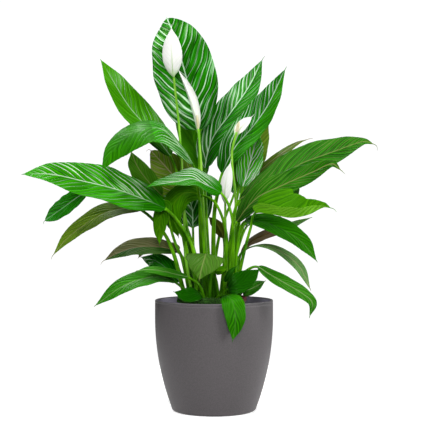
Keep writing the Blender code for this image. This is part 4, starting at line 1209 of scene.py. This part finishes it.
class LILY_OT_flowers(bpy.types.Operator):
    """Grows every flower: stalk, white spathe and spadix covered in florets"""

    bl_idname = "lily.flowers"
    bl_label = "Flowers"

    def stalk(self, name, points, face, skin):
        """A slim round stalk. Returns its end, and which way its end and inner side look."""
        (x, y), rest = points[0], points[1:]
        path = [Vector((x, y, SOIL_TOP - STEM_DEPTH))]
        path += smooth_path(((x, y, SOIL_TOP + 1.0), *rest), STALK_STEPS)
        along, ups = faces_along(path, face, len(path) - 1)
        rings = []
        for place, centre in enumerate(path):
            share = place / (len(path) - 1)
            radius = PEDUNCLE_BASE_RADIUS + (PEDUNCLE_TOP_RADIUS - PEDUNCLE_BASE_RADIUS) * share
            side = along[place].cross(ups[place])
            turns = [math.pi - math.tau * step / STALK_SIDES for step in range(STALK_SIDES)]
            rings.append(circle(centre, radius, side, ups[place], turns))
        mesh = loft("peduncle_" + name, rings, (skin,))
        finished("grown_peduncle_" + name, mesh, "peduncle_" + name)
        return path[-1], along[-1], ups[-1]

    def spathe(self, name, end, ahead, inner, points, width, face, curl, radius, thick, skin):
        """The white hood behind the spadix."""
        back = inner * (PEDUNCLE_TOP_RADIUS + GAP + SOLID_BLADE_THICK)
        clear = inner * (radius + SPADIX_BUMP + GAP + SOLID_BLADE_THICK)
        base = end - ahead * SPATHE_OVERLAP - back
        path = smooth_path((base, end - clear, *[Vector(point) - clear for point in points]),
                           SPATHE_STEPS)
        tip = path[-1]
        onward = (path[-1] - path[-2]).normalized()
        path += [tip + onward * (SPATHE_DRIP * step / DRIP_STEPS)
                 for step in range(1, DRIP_STEPS + 1)]
        along, ups = faces_along(path, face, SPATHE_STEPS // 2)
        rings = []
        for place, centre in enumerate(path):
            t = min(place / SPATHE_STEPS, 1.0)
            side = along[place].cross(ups[place])
            half = half_width(t, width, SPATHE_BASE_SHARPNESS, SPATHE_TIP_SHARPNESS)
            half = max(half, PEDUNCLE_TOP_RADIUS * (1 - t) ** 2, SPATHE_TIP_RADIUS)
            half *= 1.0 - 0.5 * max(place - SPATHE_STEPS, 0) / DRIP_STEPS
            top, bottom = [], []
            for s in across_steps(LEAF_ACROSS):
                bend = curl * s * s + 0.03 * s * s * math.sin(9.0 * t + (2.0 if s > 0 else 0.0))
                phase = 9.0 * (t - 0.25 * abs(s)) + (0.5 if s > 0 else 0.0)
                x = half * s * (1.0 - 0.35 * min(curl, 1.0) * s * s)
                half_thick = skin_half(thick, s)
                for row, lift in ((top, half_thick), (bottom, -half_thick)):
                    row.append((centre + side * x + ups[place] * (half * bend + lift), phase,
                                abs(x) * MM, t))
            rings.append(top + bottom[::-1])
        mesh = loft_blade("spathe_" + name, rings, (skin,), lambda place, step: 0,
                          "vein", "rib", "along")
        finished("grown_spathe_" + name, mesh, "spathe_" + name)

    def florets(self):
        """Sets a blunt floret on every point of the spadix's core."""
        tree, keys, given = node_group("florets", Size="Float", Seed="Int")
        vary = add(tree, "FunctionNodeRandomValue", {2: 0.8, 3: 1.15, "Seed": given["Seed"]},
                   data_type="FLOAT")
        set_balls(tree, given, given["Size"], Points=given["Geometry"], Scale=vary.outputs[1])
        return tree, keys

    def spadix(self, name, end, ahead, inner, reach, radius, size, tree, keys, skin):
        """The finger of florets at the stalk's end."""
        foot, side = end + ahead * GAP, ahead.cross(inner)
        core = radius - size / MM * FLORET_SUNK
        rows = max(8, round(reach / (size / MM * FLORET_AHEAD)))
        sides = max(6, round(math.tau * core / (size / MM * FLORET_ASIDE)))
        rings = []
        for row in range(rows + 1):
            t = row / rows
            taper = 1.0 - max(t - SPADIX_TAPER_FROM, 0) / SPADIX_TAPER_SPAN
            girth = core * min(1.0, SPADIX_FOOT_SHARE + SPADIX_SWELL * t)
            girth *= math.sqrt(max(taper, SPADIX_END_SHARE))
            turns = [-math.tau * (step + 0.5 * (row % 2)) / sides for step in range(sides)]
            rings.append(circle(foot + ahead * (reach * t), girth, side, inner, turns))
        mesh = grow("spadix_" + name, loft("spadix_" + name, rings), tree, keys,
                    {"Size": size, "Seed": FLORET_SEED, "Material": skin})
        finished("grown_spadix_" + name, mesh, "spadix_" + name)

    def execute(self, context):
        settings = context.scene.lily_flowers
        # Flower stalks are paler and fresher than petioles
        stem = stem_skin("pale flower stalk", "#66b81c", "#a4e050", 0.3)
        petal = petal_skin("white spathe", "#f8f8f4", "#8fbf5a")
        # Florets are waxy but powdered with pollen: matt cream
        cream = speckled("cream florets", "#e4dab0", "#f4ecca", 0.0012, 0.7, 0.0002)
        tree, keys = self.florets()
        for name, stalk, spathe, width, face, curl, reach, radius in FLOWERS:
            end, ahead, inner = self.stalk(name, stalk, face, stem)
            self.spathe(name, end, ahead, inner, spathe, width, face, curl, radius,
                        settings.petal / MM, petal)
            self.spadix(name, end, ahead, inner, reach, radius, settings.floret, tree, keys, cream)
        return {"FINISHED"}


class LILY_OT_stage(bpy.types.Operator):
    """Sets the pale floor, soft studio light and the camera"""

    bl_idname = "lily.stage"
    bl_label = "Stage"

    def execute(self, context):
        scene, stage = context.scene, context.scene.lily_stage
        camera = new_object("camera", bpy.data.cameras.new("camera"))
        camera.data.lens = stage.lens
        camera.location = (stage.aside, -stage.distance, stage.eye)
        camera.rotation_euler = (math.radians(90), 0, 0)
        scene.camera = camera

        # Matt white paper, lit from within a little so that it stays white
        paper = new_material("white paper floor", 0.9, Emission_Strength=0.6,
                             Emission_Color=linear("#ffffff"), Base_Color=linear("#f2f2f2"))[0]
        corners = [(x * FLOOR_REACH, y * FLOOR_REACH, FLOOR_HEIGHT)
                   for x, y in ((-1, -1), (1, -1), (1, 1), (-1, 1))]
        floor = new_object("floor", new_mesh("floor", corners, [(0, 1, 2, 3)], (paper,)))
        # The floor throws no light on the pot's foot, which is dark in the photo
        floor.visible_diffuse = False

        # The room glows more behind the plant than in front, and the camera sees it white
        scene.world = bpy.data.worlds.new("studio")
        scene.world.use_nodes = True
        tree = scene.world.node_tree
        towards = add(tree, "ShaderNodeTexCoord").outputs["Generated"]
        split = add(tree, "ShaderNodeSeparateXYZ", {0: towards})
        room = tree.nodes["Background"]
        room.inputs["Color"].default_value = (1, 1, 1, 1)
        wall = ramp(tree, split.outputs["Y"], -0.1, 0.8, stage.room, stage.backdrop)
        tree.links.new(wall, room.inputs["Strength"])
        white = add(tree, "ShaderNodeBackground", {"Color": (1, 1, 1, 1), "Strength": 1.05})
        seen = add(tree, "ShaderNodeLightPath").outputs["Is Camera Ray"]
        both = add(tree, "ShaderNodeMixShader", {0: seen, 1: room.outputs[0], 2: white.outputs[0]})
        tree.links.new(both.outputs[0], tree.nodes["World Output"].inputs["Surface"])

        for name, place, aim, size, watts in LAMPS:
            lamp = new_object(name, bpy.data.lights.new(name, "AREA"))
            lamp.data.shape = "SQUARE"
            lamp.data.size = size
            lamp.data.energy = watts
            lamp.location = place
            lamp.rotation_euler = (Vector(aim) - Vector(place)).to_track_quat("-Z", "Y").to_euler()
        scene.view_settings.view_transform = "Standard"
        return {"FINISHED"}


class LILY_PT_panel(bpy.types.Panel):
    """Lists the plant's settings and the buttons that build it"""

    bl_label = TITLE
    bl_category = TITLE
    bl_space_type = "VIEW_3D"
    bl_region_type = "UI"

    def draw(self, context):
        for group, (settings, operator) in GROUPS.items():
            box = self.layout.box()
            box.label(text=group.replace("_", " ").capitalize())
            held = getattr(context.scene, "lily_" + group)
            for name in settings.__annotations__:
                box.prop(held, name)
            box.operator(operator.bl_idname)


GROUPS = {
    "pot": (PotSettings, LILY_OT_pot),
    "compost": (CompostSettings, LILY_OT_compost),
    "leaves": (LeafSettings, LILY_OT_leaves),
    "flowers": (FlowerSettings, LILY_OT_flowers),
    "stage": (StageSettings, LILY_OT_stage),
}


def register():
    for group, (settings, operator) in GROUPS.items():
        bpy.utils.register_class(settings)
        bpy.utils.register_class(operator)
        setattr(bpy.types.Scene, "lily_" + group, bpy.props.PointerProperty(type=settings))
    bpy.utils.register_class(LILY_PT_panel)


def unregister():
    bpy.utils.unregister_class(LILY_PT_panel)
    for group, (settings, operator) in GROUPS.items():
        delattr(bpy.types.Scene, "lily_" + group)
        bpy.utils.unregister_class(operator)
        bpy.utils.unregister_class(settings)


def main():
    register()
    bpy.ops.lily.pot()
    bpy.ops.lily.compost()
    bpy.ops.lily.leaves()
    bpy.ops.lily.flowers()
    bpy.ops.lily.stage()


if __name__ == "__main__":
    main()
